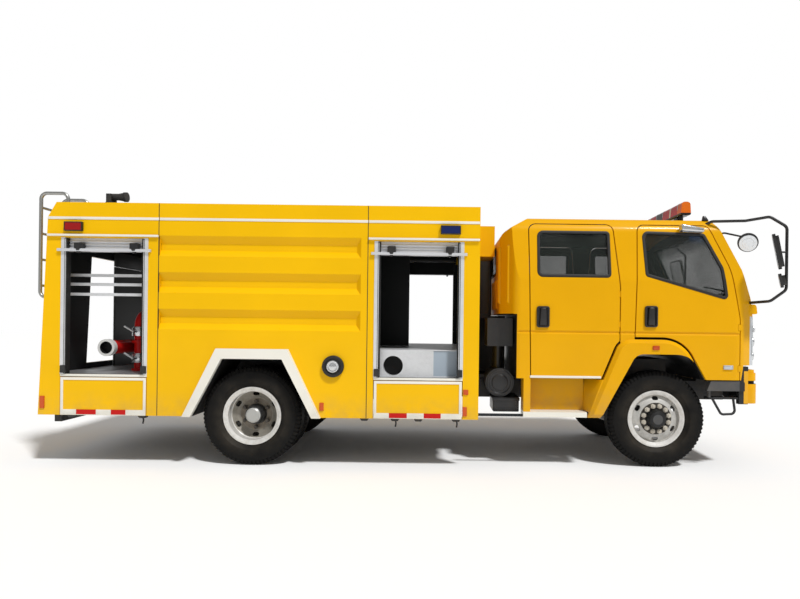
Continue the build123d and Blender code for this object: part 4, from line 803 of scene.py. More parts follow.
def rod(name, points, radius, bend=0.0):
    """A round bar along a few points, its corners rounded."""
    points = [Vector(p) for p in points]
    alone()
    bpy.ops.mesh.primitive_plane_add(size=radius, location=points[0])
    piece = named(name)
    pick(piece, anything)
    bpy.ops.mesh.select_mode(type="VERT")
    bpy.ops.mesh.select_all(action="SELECT")
    bpy.ops.mesh.merge(type="CENTER")
    bpy.ops.mesh.select_all(action="SELECT")
    for start, end in zip(points, points[1:]):
        bpy.ops.mesh.extrude_vertices_move(TRANSFORM_OT_translate={"value": end - start})
    if bend:
        bpy.ops.mesh.select_all(action="SELECT")
        bpy.ops.mesh.bevel(offset=bend, segments=5, affect="VERTICES")
    close()
    bpy.ops.object.convert(target="CURVE")
    piece.data.bevel_depth = radius
    piece.data.bevel_resolution = 3
    piece.data.use_fill_caps = True
    bpy.ops.object.convert(target="MESH")
    return outward(piece)


def placed(piece, place, turn):
    """Turns a piece made at the origin by a quaternion and moves it into place."""
    piece.rotation_mode = "QUATERNION"
    piece.rotation_quaternion = turn
    piece.location = place
    alone(piece)
    return named(piece.name)


def surface(start, direction, *nodes):
    """Place and normal of the first surface of some CAD nodes on a line from outside."""
    start, direction = Vector(start), Vector(direction)
    hits = [NODES[node].ray_cast(start, direction) for node in nodes]
    hits = [(place, normal) for found, place, normal, _ in hits if found]
    if not hits:
        raise RuntimeError(f"No surface of {nodes} on the line from {tuple(start)}")
    return min(hits, key=lambda hit: (hit[0] - start).length)


def on_front(y, z, *nodes):
    """Place and normal on the truck's front."""
    return surface((CAD_HIGH.x + 0.5, y, z), (-1, 0, 0), *nodes)


def aimed(piece, hit):
    """Sets a piece that was made along Z on a surface."""
    return placed(piece, hit[0], hit[1].to_track_quat("Z", "Y"))


def fit(piece, finish, body="truck", smooth=35):
    """Smooths, dresses and seats a finished piece."""
    alone(piece)
    bpy.ops.object.shade_smooth_by_angle(angle=math.radians(smooth))
    wear(piece, finish)
    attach(piece, body)
    return piece


def fit_both(piece, finish, body="truck"):
    """Fits a right-hand piece and its mirrored copy; the body's name may hold a side."""
    name = piece.name
    other = across(piece, name + "_left")
    piece.name = name + "_right"
    fit(piece, finish, body.format(side="right"))
    fit(other, finish, body.format(side="left"))


def side_plate(name, x, z, width, height, out, base, edge=0.004):
    """A rounded plate on the right-hand side: X and Z of its middle, its size, and how far it stands out."""
    half_w, half_h = width / 2, height / 2
    plate = run_block(name, (x - half_w, base + 0.003, z - half_h), (x + half_w, base - out, z + half_h))
    return soften(plate, min(edge, out / 2), 3)


# Operators
class TRUCK_OT_finishes(Operator):
    """Procedural finishes on the CAD nodes"""

    bl_idname = "truck.finishes"
    bl_label = "Finishes"

    def execute(self, context):
        FINISH.update(make_finishes(context.scene.truck_paint))
        for finish, names in NODE_FINISH.items():
            for name in names:
                wear(NODES[name], finish)
        return {"FINISHED"}


class TRUCK_OT_tyres(Operator):
    """Tyres with ribs, shoulder lugs and ringed walls"""

    bl_idname = "truck.tyres"
    bl_label = "Tyres"

    STEPS = 144
    RIB_HALF = 0.020
    CROWN_DROP = 0.0015
    # Half width of an edge row from the rib to the bead, and its drop under the tyre's crown
    ROWS = ((0.020, 0.012), (0.028, 0.012), (0.028, 0.001), (0.052, 0.001), (0.052, 0.011), (0.060, 0.011),
            (0.060, 0.001), (0.086, 0.0055), (0.099, 0.020), (0.106, 0.040), (0.1075, 0.046), (0.1105, 0.049),
            (0.1165, 0.082), (0.1175, 0.110), (0.1155, 0.137), (0.1125, 0.151), (0.1085, 0.1535),
            (0.095, 0.175),
            (0.083, 0.191), (0.0765, 0.201), (0.0765, 0.231))
    LUG_FROM = 0.061
    LUG_TO = 0.1068

    def execute(self, context):
        first = self.tyre("tyre", FRONT_AXLE, context.scene.truck_trim.lug_depth)
        for side, _ in SIDES:
            front = copied(first, f"tyre_front_{side}", middle(f"front_tyre_{side}") - FRONT_AXLE)
            self.seat(front, f"front_tyre_{side}", f"front_wheel_{side}")
            low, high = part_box(f"rear_tyres_{side}")
            centre = (low + high) / 2
            reach = (high.y - low.y) / 2 - TYRE_HALF
            twins = [copied(first, "twin", centre - FRONT_AXLE + Vector((0, y, 0))) for y in (-reach, reach)]
            self.seat(joined(f"tyres_rear_{side}", twins), f"rear_tyres_{side}", f"rear_wheels_{side}")
        discard(first)
        return {"FINISHED"}

    def seat(self, piece, node, body):
        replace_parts(fit(piece, "tyre", body, 28), node)

    def tyre(self, name, centre, depth):
        crown = TYRE_R - self.CROWN_DROP
        alone()
        bpy.ops.mesh.primitive_cylinder_add(vertices=self.STEPS, radius=crown, depth=self.RIB_HALF * 2,
                                            end_fill_type="NOTHING", location=centre, rotation=TURNS["Y"])
        piece = named(name)
        for s in (-1, 1):
            half, radius = self.RIB_HALF, crown
            pick(piece, lambda e: e.is_boundary and (e.verts[0].co.y - centre.y) * s > 0, "EDGE")
            for next_half, drop in self.ROWS:
                bpy.ops.mesh.extrude_edges_move(TRANSFORM_OT_translate={"value": (0, s * (next_half - half),
                                                                                  0)})
                ratio = (TYRE_R - drop) / radius
                bpy.ops.transform.resize(value=(ratio, 1, ratio), center_override=centre)
                half, radius = next_half, TYRE_R - drop
            close()
        pick(piece, lambda e: e.is_boundary, "EDGE")
        bpy.ops.mesh.bridge_edge_loops()
        close()
        outward(piece)
        pick(piece, lambda f: self.notch(f, centre))
        bpy.ops.mesh.extrude_region_shrink_fatten(TRANSFORM_OT_shrink_fatten={"value": -depth})
        close()
        return piece

    def notch(self, face, centre):
        spot = face.calc_center_median() - centre
        radius = math.hypot(spot.x, spot.z)
        turn = int((math.atan2(spot.z, spot.x) + math.pi) / math.tau * self.STEPS)
        return turn % 2 == 0 and self.LUG_FROM < abs(spot.y) < self.LUG_TO and radius > TYRE_R - 0.06


class TRUCK_OT_wheels(Operator):
    """Wheel nuts with their stud ends"""

    bl_idname = "truck.wheels"
    bl_label = "Wheel nuts"

    RING_R = 0.130
    NUT_H = 0.034
    STUD_R = 0.010
    # Row, rim node, wheel body, finish, nut count, nut radius and its depth behind the rim's outer face
    ROWS = (("front", "front_rim_{}", "front_wheel_{}", "pale_nut", 12, 0.026, 0.064),
            ("rear", "rear_rims_{}", "rear_wheels_{}", "dark_nut", 6, 0.022, 0.134))

    def execute(self, context):
        for row, node, body, finish, count, size, depth in self.ROWS:
            low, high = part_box(node.format("right"))
            centre = (low + high) / 2
            face = low.y + depth
            nuts = []
            for i in range(count):
                turn = math.tau * (i + 0.5) / count
                spot = Vector((centre.x + self.RING_R * math.cos(turn), face,
                               centre.z + self.RING_R * math.sin(turn)))
                nut = drum("nut", spot, size, self.NUT_H, "Y", 6)
                soften(nut, 0.003)
                inset(nut, toward("Y", -1), size - self.STUD_R - 0.006, 0.008)
                nuts.append(nut)
            fit_both(joined(f"wheel_nuts_{row}", nuts), finish, body.format("{side}"))
        return {"FINISHED"}


class TRUCK_OT_windows(Operator):
    """Rubber seals round the panes"""

    bl_idname = "truck.windows"
    bl_label = "Window seals"

    PROUD = 0.023
    RIM_ANGLE = 1.2

    def execute(self, context):
        width = context.scene.truck_trim.seal
        for side, s in SIDES:
            for place in ("front", "rear"):
                node = f"door_glass_{place}_{side}"
                self.seal(f"seal_{place}_{side}", node, lambda f: f.normal.y * s > 0.6, width,
                          f"door_{place}_{side}")
        self.seal("seal_screen", "cab_glass", lambda f: f.normal.x > 0.6, width, "truck")
        self.seal("seal_back", "cab_glass", lambda f: f.normal.x < -0.6, width, "truck")
        return {"FINISHED"}

    def seal(self, name, node, test, width, body):
        centre = middle(node).x
        piece = bpy.data.objects.new(name, NODES[node].data.copy())
        bpy.context.scene.collection.objects.link(piece)
        pick(piece, anything)
        bpy.ops.mesh.remove_doubles(threshold=MERGE)
        close()
        front = name == "seal_screen"
        back = name == "seal_back"
        pick(piece, lambda f: not self.kept(f, test, front, back, centre))
        bpy.ops.mesh.delete(type="FACE")
        bpy.ops.mesh.select_all(action="SELECT")
        bpy.ops.mesh.dissolve_limited(angle_limit=math.radians(1))
        bpy.ops.mesh.select_all(action="SELECT")
        bpy.ops.mesh.inset(thickness=width, depth=0)
        bpy.ops.mesh.delete(type="FACE")
        bpy.ops.mesh.select_all(action="SELECT")
        bpy.ops.mesh.quads_convert_to_tris()
        bpy.ops.mesh.tris_convert_to_quads()
        close()
        wall = piece.modifiers.new("wall", "SOLIDIFY")
        wall.thickness = self.PROUD
        wall.offset = 1
        wall.use_even_offset = True
        bpy.ops.object.modifier_apply(modifier="wall")
        soften(piece, 0.004, 2, lambda e: sharp(e, self.RIM_ANGLE))
        fit(piece, "rubber", body)

    def kept(self, face, test, front, back, centre):
        if not test(face):
            return False
        x = face.calc_center_median().x
        return not (front and x < centre) and not (back and x > centre)


class TRUCK_OT_doors(Operator):
    """Door handles, sill trims, side markers and the kerb mirror"""

    bl_idname = "truck.doors"
    bl_label = "Door fittings"

    HANDLE_W = 0.128
    HANDLE_H = 0.212
    # Door, X and Z of its handle's middle
    HANDLES = (("rear", 2.876, 1.504), ("front", 3.951, 1.519))
    # X, Z, width, height and reach of the plates
    SILL_TRIM = (3.106, 0.908, 0.707, 0.024, 0.008)
    MARKER = (4.724, 1.022, 0.094, 0.042, 0.012)
    # X range and Z range of the kerb mirror's case, and how far its nose hangs
    KERB_X = (4.235, 4.465)
    KERB_Z = (2.372, 2.442)
    KERB_DROP = 0.024

    def execute(self, context):
        for place, x, z in self.HANDLES:
            fit_both(self.handle(f"handle_{place}", x, z), "plastic", f"door_{place}_{{side}}")
        trim = side_plate("door_sill_trim", *self.SILL_TRIM, CAB_Y)
        fit_both(trim, "trim", "door_rear_{side}")
        marker = side_plate("door_marker", *self.MARKER, CAB_Y)
        fit_both(inset(marker, toward("Y", -1), 0.004, 0.003), "clear_lens", "door_front_{side}")
        self.kerb_mirror()
        return {"FINISHED"}

    def handle(self, name, x, z):
        """Shell with a sunk finger bay and an upright paddle in it."""
        shell = run_block(name, (x - self.HANDLE_W / 2, CAB_Y + 0.004, z - self.HANDLE_H / 2),
                          (x + self.HANDLE_W / 2, CAB_Y - 0.020, z + self.HANDLE_H / 2))
        soften(shell, 0.024, 4, runs("Y", 0.01))
        inset(shell, toward("Y", -1), 0.016, -0.019)
        soften(shell, 0.004, 2, lambda e: sharp(e) and e.verts[0].co.y < CAB_Y - 0.015)
        paddle = run_block("paddle", (x - 0.026, CAB_Y - 0.002, z - 0.086),
                           (x + 0.026, CAB_Y - 0.030, z + 0.090))
        taper(paddle, toward("Z", -1), (1.35, 1, 1), (along(x), CAB_Y, z))
        soften(paddle, 0.009, 4)
        return joined(name, [shell, paddle])

    def kerb_mirror(self):
        """Wedge-shaped bright housing over the front window, its glass looking down."""
        (x0, x1), (z0, z1) = self.KERB_X, self.KERB_Z
        case = run_block("kerb_mirror", (x0, CAB_Y + 0.060, z0), (x1, CAB_Y - 0.040, z1))
        shifted(case, toward("X", 1), (0, 0, -self.KERB_DROP))
        taper(case, toward("X", 1), (1, 0.8, 0.62), (along(x1), CAB_Y + 0.01, z0 + 0.011))
        soften(case, 0.016, 4)
        inset(case, toward("Z", -1, 0.005), 0.010, -0.006)
        inset(case, toward("Y", -1, 0.003), 0.012, -0.003)
        foot = soften(run_block("foot", (4.30, CAB_Y + 0.075, 2.385), (4.40, CAB_Y + 0.03, 2.425)), 0.006)
        fit(joined("kerb_mirror", [case, foot]), "chrome", "door_front_right")


class TRUCK_OT_body_trim(Operator):
    """Stripes, drip rails, seams, sills, reflectors and filler cap on the body"""

    bl_idname = "truck.body_trim"
    bl_label = "Body trim"

    GAP = 0.004
    SEAM_W = 0.007
    REAR_TOP = -1.983
    # X, Z, width and height of the reflectors
    REFLECTORS = ((-2.017, 0.613, 0.046, 0.120), (0.707, 0.600, 0.042, 0.078), (2.111, 0.757, 0.050, 0.050),
                  (2.102, 0.568, 0.044, 0.090))
    # X range of the two openings
    OPENINGS = ((-1.848, -1.000), (1.206, 2.080))
    SILL_Z = (0.866, 0.890)
    FILLER = (0.817, 0.995)
    COLLAR_R = 0.106
    CAP_R = 0.058

    def execute(self, context):
        trim = context.scene.truck_trim
        stripes = []
        for x0, x1 in MODULES.values():
            x0 = max(x0, along(self.REAR_TOP))
            stripes.append(self.strip(x0 + self.GAP, x1 - self.GAP, trim.stripe_z, trim.stripe_h, 0.005))
        fit_both(joined("side_stripe", stripes), "trim")
        rails = []
        for name in ("pump_room_sides", "locker_sides"):
            x0, x1 = MODULES[name]
            x0 = max(x0, along(self.REAR_TOP))
            rail = self.strip(x0 + self.GAP, x1 - self.GAP, trim.rail_z, trim.rail_h, trim.rail_out)
            rails.append(inset(rail, toward("Z", 1), 0.003, -0.006))
        fit_both(joined("drip_rail", rails), "trim")
        seams = []
        for x in MODULES["tank_sides"]:
            seam = block("seam", (x - self.SEAM_W, BODY_Y + 0.01, BODY_BASE + 0.002),
                         (x, BODY_Y - 0.002, BODY_TOP - 0.002))
            seams.append(soften(seam, 0.001, 1))
        fit_both(joined("module_seam", seams), "rubber")
        sills = []
        for x0, x1 in self.OPENINGS:
            sill = run_block("sill", (x0 + 0.002, BODY_Y + 0.042, self.SILL_Z[0]),
                             (x1 - 0.002, BODY_Y - 0.003, self.SILL_Z[1]))
            sills.append(soften(sill, 0.003))
        fit_both(joined("opening_sill", sills), "trim")
        spots = [side_plate("reflector", x, z, w, h, 0.010, BODY_Y) for x, z, w, h in self.REFLECTORS]
        spots = [inset(spot, toward("Y", -1), 0.005, -0.002) for spot in spots]
        fit_both(joined("reflectors", spots), "orange_lens")
        self.filler(*self.FILLER)
        return {"FINISHED"}

    def strip(self, x0, x1, z, height, out):
        strip = block("strip", (x0, BODY_Y + 0.002, z - height / 2), (x1, BODY_Y - out, z + height / 2))
        return soften(strip, min(0.002, out / 3), 2)

    def filler(self, x, z):
        """Rubber collar with a stepped metal cap in it."""
        collar = drum("filler_collar", (along(x), BODY_Y - 0.018, z), self.COLLAR_R, 0.040)
        inset(collar, toward("Y", -1), 0.030, -0.012)
        soften(collar, 0.006, 3)
        fit(collar, "rubber")
        cap = drum("filler_cap", (along(x), BODY_Y - 0.030, z), self.CAP_R, 0.036)
        inset(cap, toward("Y", -1), 0.012, -0.006)
        inset(cap, toward("Y", -1, 0.004), 0.014, 0.009)
        lug = run_block("lug", (x - 0.034, BODY_Y - 0.040, z - 0.007), (x + 0.034, BODY_Y - 0.060, z + 0.007))
        soften(cap, 0.002)
        soften(lug, 0.003)
        fit(joined("filler_cap", [cap, lug]), "chrome")


class TRUCK_OT_chassis(Operator):
    """Battery box, air cleaner cap, a black sheet that paints the shadow in the gap, pressed ribs and step
    gussets behind and under the cab
    """

    bl_idname = "truck.chassis"
    bl_label = "Chassis fittings"

    LOW = (2.400, -0.900, 0.536)
    HIGH = (2.665, -0.500, 0.678)
    CAP_R = 0.132
    RIB_YS = (-0.790, -0.925)
    RIB_Z = 1.930
    RIB_HALF = (0.024, 0.310)
    RIB_PROUD = 0.018
    SHADOW_SHEET_HALF = 0.020
    # X range and Z range of the two black sheets that paint the shadow between body and cab
    SHADOW_SHEETS = ((2.240, 2.606, 0.880, 1.522), (2.240, 2.444, 1.518, 2.190))
    # Sheet from the step's panel out to the fender: two corners, and how far its outer edge leans forward
    GUSSET = ((3.318, -0.800, 0.556), (3.330, -1.036, 0.884))
    GUSSET_LEAN = (0.032, 0.125)

    def execute(self, context):
        case = run_block("battery_box", self.LOW, self.HIGH)
        soften(case, 0.010, 3)
        inset(case, toward("Y", -1, 0.01), 0.020, -0.006)
        lid = run_block("lid", (self.LOW[0] - 0.006, self.LOW[1] - 0.006, self.HIGH[2] - 0.030),
                        (self.HIGH[0] + 0.006, self.HIGH[1] + 0.006, self.HIGH[2] + 0.004))
        fit(joined("battery_box", [case, soften(lid, 0.006)]), "plastic")
        self.cap()
        self.shadow_sheet()
        self.ribs()
        self.gusset()
        return {"FINISHED"}

    def cap(self):
        """Stepped end cap on the air cleaner's canister."""
        low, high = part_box("air_cleaner")
        spot = Vector(((low.x + high.x) / 2, low.y, low.z + (high.x - low.x) / 2))
        cap = drum("air_cleaner_cap", spot, self.CAP_R, 0.024)
        inset(cap, toward("Y", -1), 0.022, -0.006)
        inset(cap, toward("Y", -1, 0.02), 0.030, 0.010)
        fit(soften(cap, 0.004, 3), "plastic")

    def shadow_sheet(self):
        """Black sheet on the middle plane that paints the shadow between body and cab, stiffened by sunk
        fields.
        """
        sheets = []
        for x0, x1, z0, z1 in self.SHADOW_SHEETS:
            sheet = run_block("sheet", (x0, -self.SHADOW_SHEET_HALF, z0), (x1, self.SHADOW_SHEET_HALF, z1))
            inset(sheet, both_ways("Y"), 0.030, -0.008)
            sheets.append(soften(sheet, 0.004))
        fit(joined("gap_shield", sheets), "plastic")

    def ribs(self):
        """Pressed upright ribs on the corners of the cab's back."""
        ribs = []
        half_w, half_h = self.RIB_HALF
        for y in self.RIB_YS:
            rib = block("rib", (-half_w, -half_h, -0.006), (half_w, half_h, self.RIB_PROUD))
            taper(rib, toward("Z", 1), (0.5, 0.9, 1), (0, 0, 0))
            hit = surface((along(2.0), y, self.RIB_Z), (1, 0, 0), "cab_shell")
            ribs.append(aimed(soften(rib, 0.006, 3), hit))
        fit_both(joined("cab_ribs", ribs), "cab")

    def gusset(self):
        """Slanting sheet that closes the step's recess at the fender."""
        low, high = self.GUSSET
        sheet = run_block("step_gusset", low, high)
        shifted(sheet, toward("Y", -1), (self.GUSSET_LEAN[0], 0, 0))
        shifted(sheet, lambda e: all(v.co.y < high[1] + 0.01 and v.co.z > high[2] - 0.01 for v in e.verts),
                (self.GUSSET_LEAN[1], 0, 0), "EDGE")
        fit_both(soften(sheet, 0.003), "steps")


class TRUCK_OT_flaps(Operator):
    """White frames and red tape on the folding flaps, and their catches"""

    bl_idname = "truck.flaps"
    bl_label = "Flap frames"

    THICK = 0.005
    TAPE_Z = 0.522
    TAPE_H = 0.048
    FOOT_RISE = 0.028
    # Flap, then the X range of its two red lengths of tape
    TAPES = {"rear": ((-1.683, -1.491), (-1.344, -1.202)), "front": ((1.364, 1.539), (1.704, 1.870))}
    # X of the catches under the flaps
    CATCHES = (-1.748, -1.060, 1.120, 1.420, 1.650, 2.020)

    def execute(self, context):
        width = context.scene.truck_trim.frame
        for place, tapes in self.TAPES.items():
            low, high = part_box(f"flap_{place}_right")
            frame = block(f"flap_frame_{place}", (low.x + 0.001, low.y + 0.001, low.z + 0.001),
                          (high.x - 0.001, low.y - self.THICK, high.z - 0.001))
            opened(frame, "Y", width)
            sill = low.z + 0.001 + width
            shifted(frame, lambda e: all(abs(v.co.z - sill) < 0.001 for v in e.verts),
                    (0, 0, self.FOOT_RISE), "EDGE")
            soften(frame, 0.0015)
            fit_both(frame, "trim", f"flap_{place}_{{side}}")
            reds = []
            for x0, x1 in tapes:
                red = run_block("red", (x0, low.y - self.THICK + 0.001, self.TAPE_Z - self.TAPE_H / 2),
                                (x1, low.y - self.THICK - 0.0012, self.TAPE_Z + self.TAPE_H / 2))
                reds.append(soften(red, 0.0006, 1))
            fit_both(joined(f"tape_{place}", reds), "tape", f"flap_{place}_{{side}}")
        catches = [self.catch(x, i % 2) for i, x in enumerate(self.CATCHES)]
        fit_both(joined("flap_catches", catches), "plastic")
        return {"FINISHED"}

    def catch(self, x, tall):
        """Spring catch under the body's lower edge, every other one with a pull tail."""
        foot = run_block("catch", (x - 0.048, BODY_Y + 0.100, BODY_BASE - 0.030),
                         (x + 0.048, BODY_Y + 0.030, BODY_BASE - 0.001))
        taper(foot, toward("Z", -1), (0.6, 0.7, 1), (along(x), BODY_Y + 0.05, 0))
        soften(foot, 0.004)
        if not tall:
            return foot
        tail = rod("tail", [(along(x), BODY_Y + 0.05, BODY_BASE - 0.015),
                            (along(x) + 0.012, BODY_Y + 0.045, BODY_BASE - 0.045),
                            (along(x) + 0.006, BODY_Y + 0.042, BODY_BASE - 0.085)], 0.008, 0.01)
        return joined("catch", [foot, tail])


class TRUCK_OT_shutters(Operator):
    """Latches on the lift bars, black channels and foot brackets on the posts"""

    bl_idname = "truck.shutters"
    bl_label = "Shutter fittings"

    POST_W = 0.045
    LATCH_Z = 2.138
    # X of the two latches of each opening
    LATCHES = (-1.675, -1.135, 1.372, 1.942)
    POST_Z = (0.892, 2.215)

    def execute(self, context):
        fit_both(joined("shutter_latches", [self.latch(x) for x in self.LATCHES]), "plastic")
        channels, brackets = [], []
        for x0, x1 in TRUCK_OT_body_trim.OPENINGS:
            for inner, s in ((x0 + self.POST_W, 1), (x1 - self.POST_W, -1)):
                channel = run_block("channel", (inner - s * 0.012, BODY_Y + 0.060, self.POST_Z[0]),
                                    (inner + s * 0.014, BODY_Y - 0.0065, self.POST_Z[1]))
                inset(channel, toward("Y", -1), 0.006, -0.012)
                channels.append(soften(channel, 0.0015, 1))
                bracket = run_block("bracket", (inner - s * 0.040, BODY_Y + 0.02, 0.900),
                                    (inner + s * 0.016, BODY_Y - 0.016, 0.975))
                soften(bracket, 0.006, 3)
                brackets.append(inset(bracket, toward("Y", -1), 0.010, -0.005))
        fit_both(joined("post_channels", channels), "rubber")
        fit_both(joined("post_brackets", brackets), "plastic")
        return {"FINISHED"}

    def latch(self, x):
        """Latch case over the bar with a thumb pad, and a hook under it."""
        case = run_block("latch", (x - 0.041, BODY_Y + 0.045, self.LATCH_Z - 0.032),
                         (x + 0.041, BODY_Y - 0.024, self.LATCH_Z + 0.032))
        soften(case, 0.008, 3)
        inset(case, toward("Y", -1), 0.012, -0.006)
        hook = run_block("hook", (x - 0.022, BODY_Y + 0.02, self.LATCH_Z - 0.068),
                         (x + 0.022, BODY_Y - 0.030, self.LATCH_Z - 0.024))
        taper(hook, toward("Z", -1), (0.55, 0.6, 1), (along(x), BODY_Y - 0.005, 0))
        return joined("latch", [case, soften(hook, 0.005)])


class TRUCK_OT_lamps(Operator):
    """Bezels, lamp bowls, fender lamps, tail lamps and the light bar's fittings"""

    bl_idname = "truck.lamps"
    bl_label = "Lamps"

    BEZEL_W = 0.005
    # X, Z, width and height of the side lamps, which the bezels go round
    SIDE_LAMPS = ((-1.722, 2.326, 0.165, 0.080), (1.947, 2.335, 0.186, 0.075))
    # Y, Z and radius of the bowls in a headlamp
    BOWLS = ((0.852, 1.405, 0.034), (0.820, 1.275, 0.054), (0.690, 1.112, 0.046), (0.812, 1.130, 0.054))
    # X, Z, width, height and reach of the fender's lamp
    FENDER_LAMP = (3.990, 1.210, 0.068, 0.042, 0.012)
    # Y and Z of the clear blade's middle
    BLADE = (-0.905, 1.290)
    TAIL_Y = (0.720, 1.020)
    TAIL_Z = (0.550, 0.640)
    TAIL_RIM = 0.012
    # Name, Y range and finish of a tail lamp's coloured fields
    TAIL_FIELDS = (("tail_amber", 0.925, 1.014, "amber_lens"), ("tail_clear", 0.730, 0.800, "clear_lens"))
    BAND_YS = (-0.53, -0.10, 0.10, 0.53)
    FOOT_YS = (-0.44, 0.44)
    FOOT_Z = (2.545, 2.575)

    def execute(self, context):
        bezels = [self.bezel(*row) for row in self.SIDE_LAMPS]
        fit_both(joined("lamp_bezels", bezels), "plastic")
        fender = side_plate("fender_lamp", *self.FENDER_LAMP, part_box("front_fenders")[0].y,
                            0.006)
        fit_both(inset(fender, toward("Y", -1), 0.005, 0.004), "orange_lens")
        self.headlamp()
        self.tail_lamps()
        self.bar_fittings()
        return {"FINISHED"}

    def bezel(self, x, z, width, height):
        """Frame round a side lamp, open over its lens."""
        w, h = width / 2 + self.BEZEL_W, height / 2 + self.BEZEL_W
        frame = run_block("bezel", (x - w, BODY_Y + 0.002, z - h), (x + w, BODY_Y - 0.034, z + h))
        return soften(opened(frame, "Y", self.BEZEL_W + 0.004), 0.004, 3)

    def headlamp(self):
        """Bright bowls with glass domes, and a clear blade down the lamp's outer edge."""
        bowls = []
        domes = []
        for y, z, radius in self.BOWLS:
            hit = on_front(-y, z, "headlamps")
            bowl = drum("bowl", (0, 0, 0.001), radius, 0.018, "Z", 40)
            inset(bowl, toward("Z", 1), 0.009, -0.010)
            bowls.append(aimed(soften(bowl, 0.002), hit))
            dome = drum("dome", (0, 0, 0), radius - 0.012, 0.020, "Z", 40)
            soften(dome, 0.008, 3, lambda e: sharp(e) and e.verts[0].co.z > 0)
            domes.append(aimed(dome, hit))
        fit_both(joined("lamp_bowls", bowls), "chrome")
        fit_both(joined("lamp_domes", domes), "glass_dome")
        blade = block("indicator", (-0.010, -0.150, -0.006), (0.010, 0.150, 0.008))
        taper(blade, toward("Y", 1), (0.5, 1, 1), (0.010, 0, 0))
        fit_both(aimed(soften(blade, 0.004, 3), on_front(*self.BLADE, "headlamps")), "clear_lens")

    def tail_lamps(self):
        """Black frames round the tail lamps, with amber and clear fields on them."""
        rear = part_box("side_lamps")[0].x
        (y0, y1), (z0, z1) = self.TAIL_Y, self.TAIL_Z
        rim = self.TAIL_RIM
        frame = block("tail_frame", (rear - 0.004, -y1 - rim, z0 - rim), (rear + 0.024, -y0 + rim, z1 + rim))
        fit_both(soften(opened(frame, "X", 0.015), 0.003), "plastic")
        for name, y0, y1, finish in self.TAIL_FIELDS:
            field = block(name, (rear - 0.005, -y1, z0 + 0.006), (rear + 0.004, -y0, z1 - 0.006))
            fit_both(soften(field, 0.003), finish)

    def bar_fittings(self):
        """Dividers and a roof foot under each end of the light bar."""
        low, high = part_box("light_bar")
        bands = []
        for y in self.BAND_YS:
            band = block("band", (low.x + 0.004, y - 0.007, high.z - 0.140),
                         (high.x - 0.002, y + 0.007, high.z - 0.001))
            soften(band, 0.030, 4, lambda e: runs("Y", 0.01)(e) and e.verts[0].co.z > high.z - 0.05)
            bands.append(band)
        fit(joined("bar_bands", bands), "chrome")
        feet = []
        for y in self.FOOT_YS:
            foot = block("foot", (low.x - 0.010, y - 0.055, self.FOOT_Z[0]),
                         (high.x + 0.004, y + 0.055, self.FOOT_Z[1]))
            feet.append(soften(foot, 0.006))
        fit(joined("bar_feet", feet), "plastic")


class TRUCK_OT_mirrors(Operator):
    """Mirror glasses on the housings, and the arm's roof bracket"""

    bl_idname = "truck.mirrors"
    bl_label = "Mirrors"

    TURN = Euler((0, math.radians(-12), math.radians(-28)), "ZYX")
    ACROSS = -1.200
    RIM = 0.030
    # X, Z, width and height of the mirror housings
    CASES = ((5.085, 2.155, 0.190, 0.345), (5.128, 1.876, 0.160, 0.135))
    BRACKET = ((4.515, -0.900, 2.505), (4.575, -0.850, 2.555))
    ROUND = (4.910, -1.020, 2.270)
    ROUND_R = 0.082
    ROUND_TURN = Euler((math.radians(-65), math.radians(20), 0), "ZYX")

    def execute(self, context):
        plates = []
        for x, z, width, height in self.CASES:
            w, h = (width - self.RIM) / 2, (height - self.RIM) / 2
            plate = block("plate", (-0.003, -w, -h), (0.002, w, h))
            soften(plate, 0.028, 4, runs("X", 0.004))
            soften(plate, 0.001, 1)
            plates.append(placed(plate, (along(x), self.ACROSS, z), self.TURN.to_quaternion()))
        fit_both(joined("mirror_plates", plates), "mirror")
        disc = drum("round_mirror_glass", (0, 0, -0.022), self.ROUND_R, 0.026, "Z")
        inset(disc, toward("Z", -1), 0.030, 0.003)
        soften(disc, 0.0015)
        x, y, z = self.ROUND
        fit(placed(disc, (along(x), y, z), self.ROUND_TURN.to_quaternion()), "mirror")
        bracket = run_block("arm_bracket", *self.BRACKET)
        taper(bracket, toward("Z", 1), (0.4, 0.5, 1), (along(4.525), -0.875, 2.555))
        fit_both(soften(bracket, 0.006), "plastic")
        return {"FINISHED"}


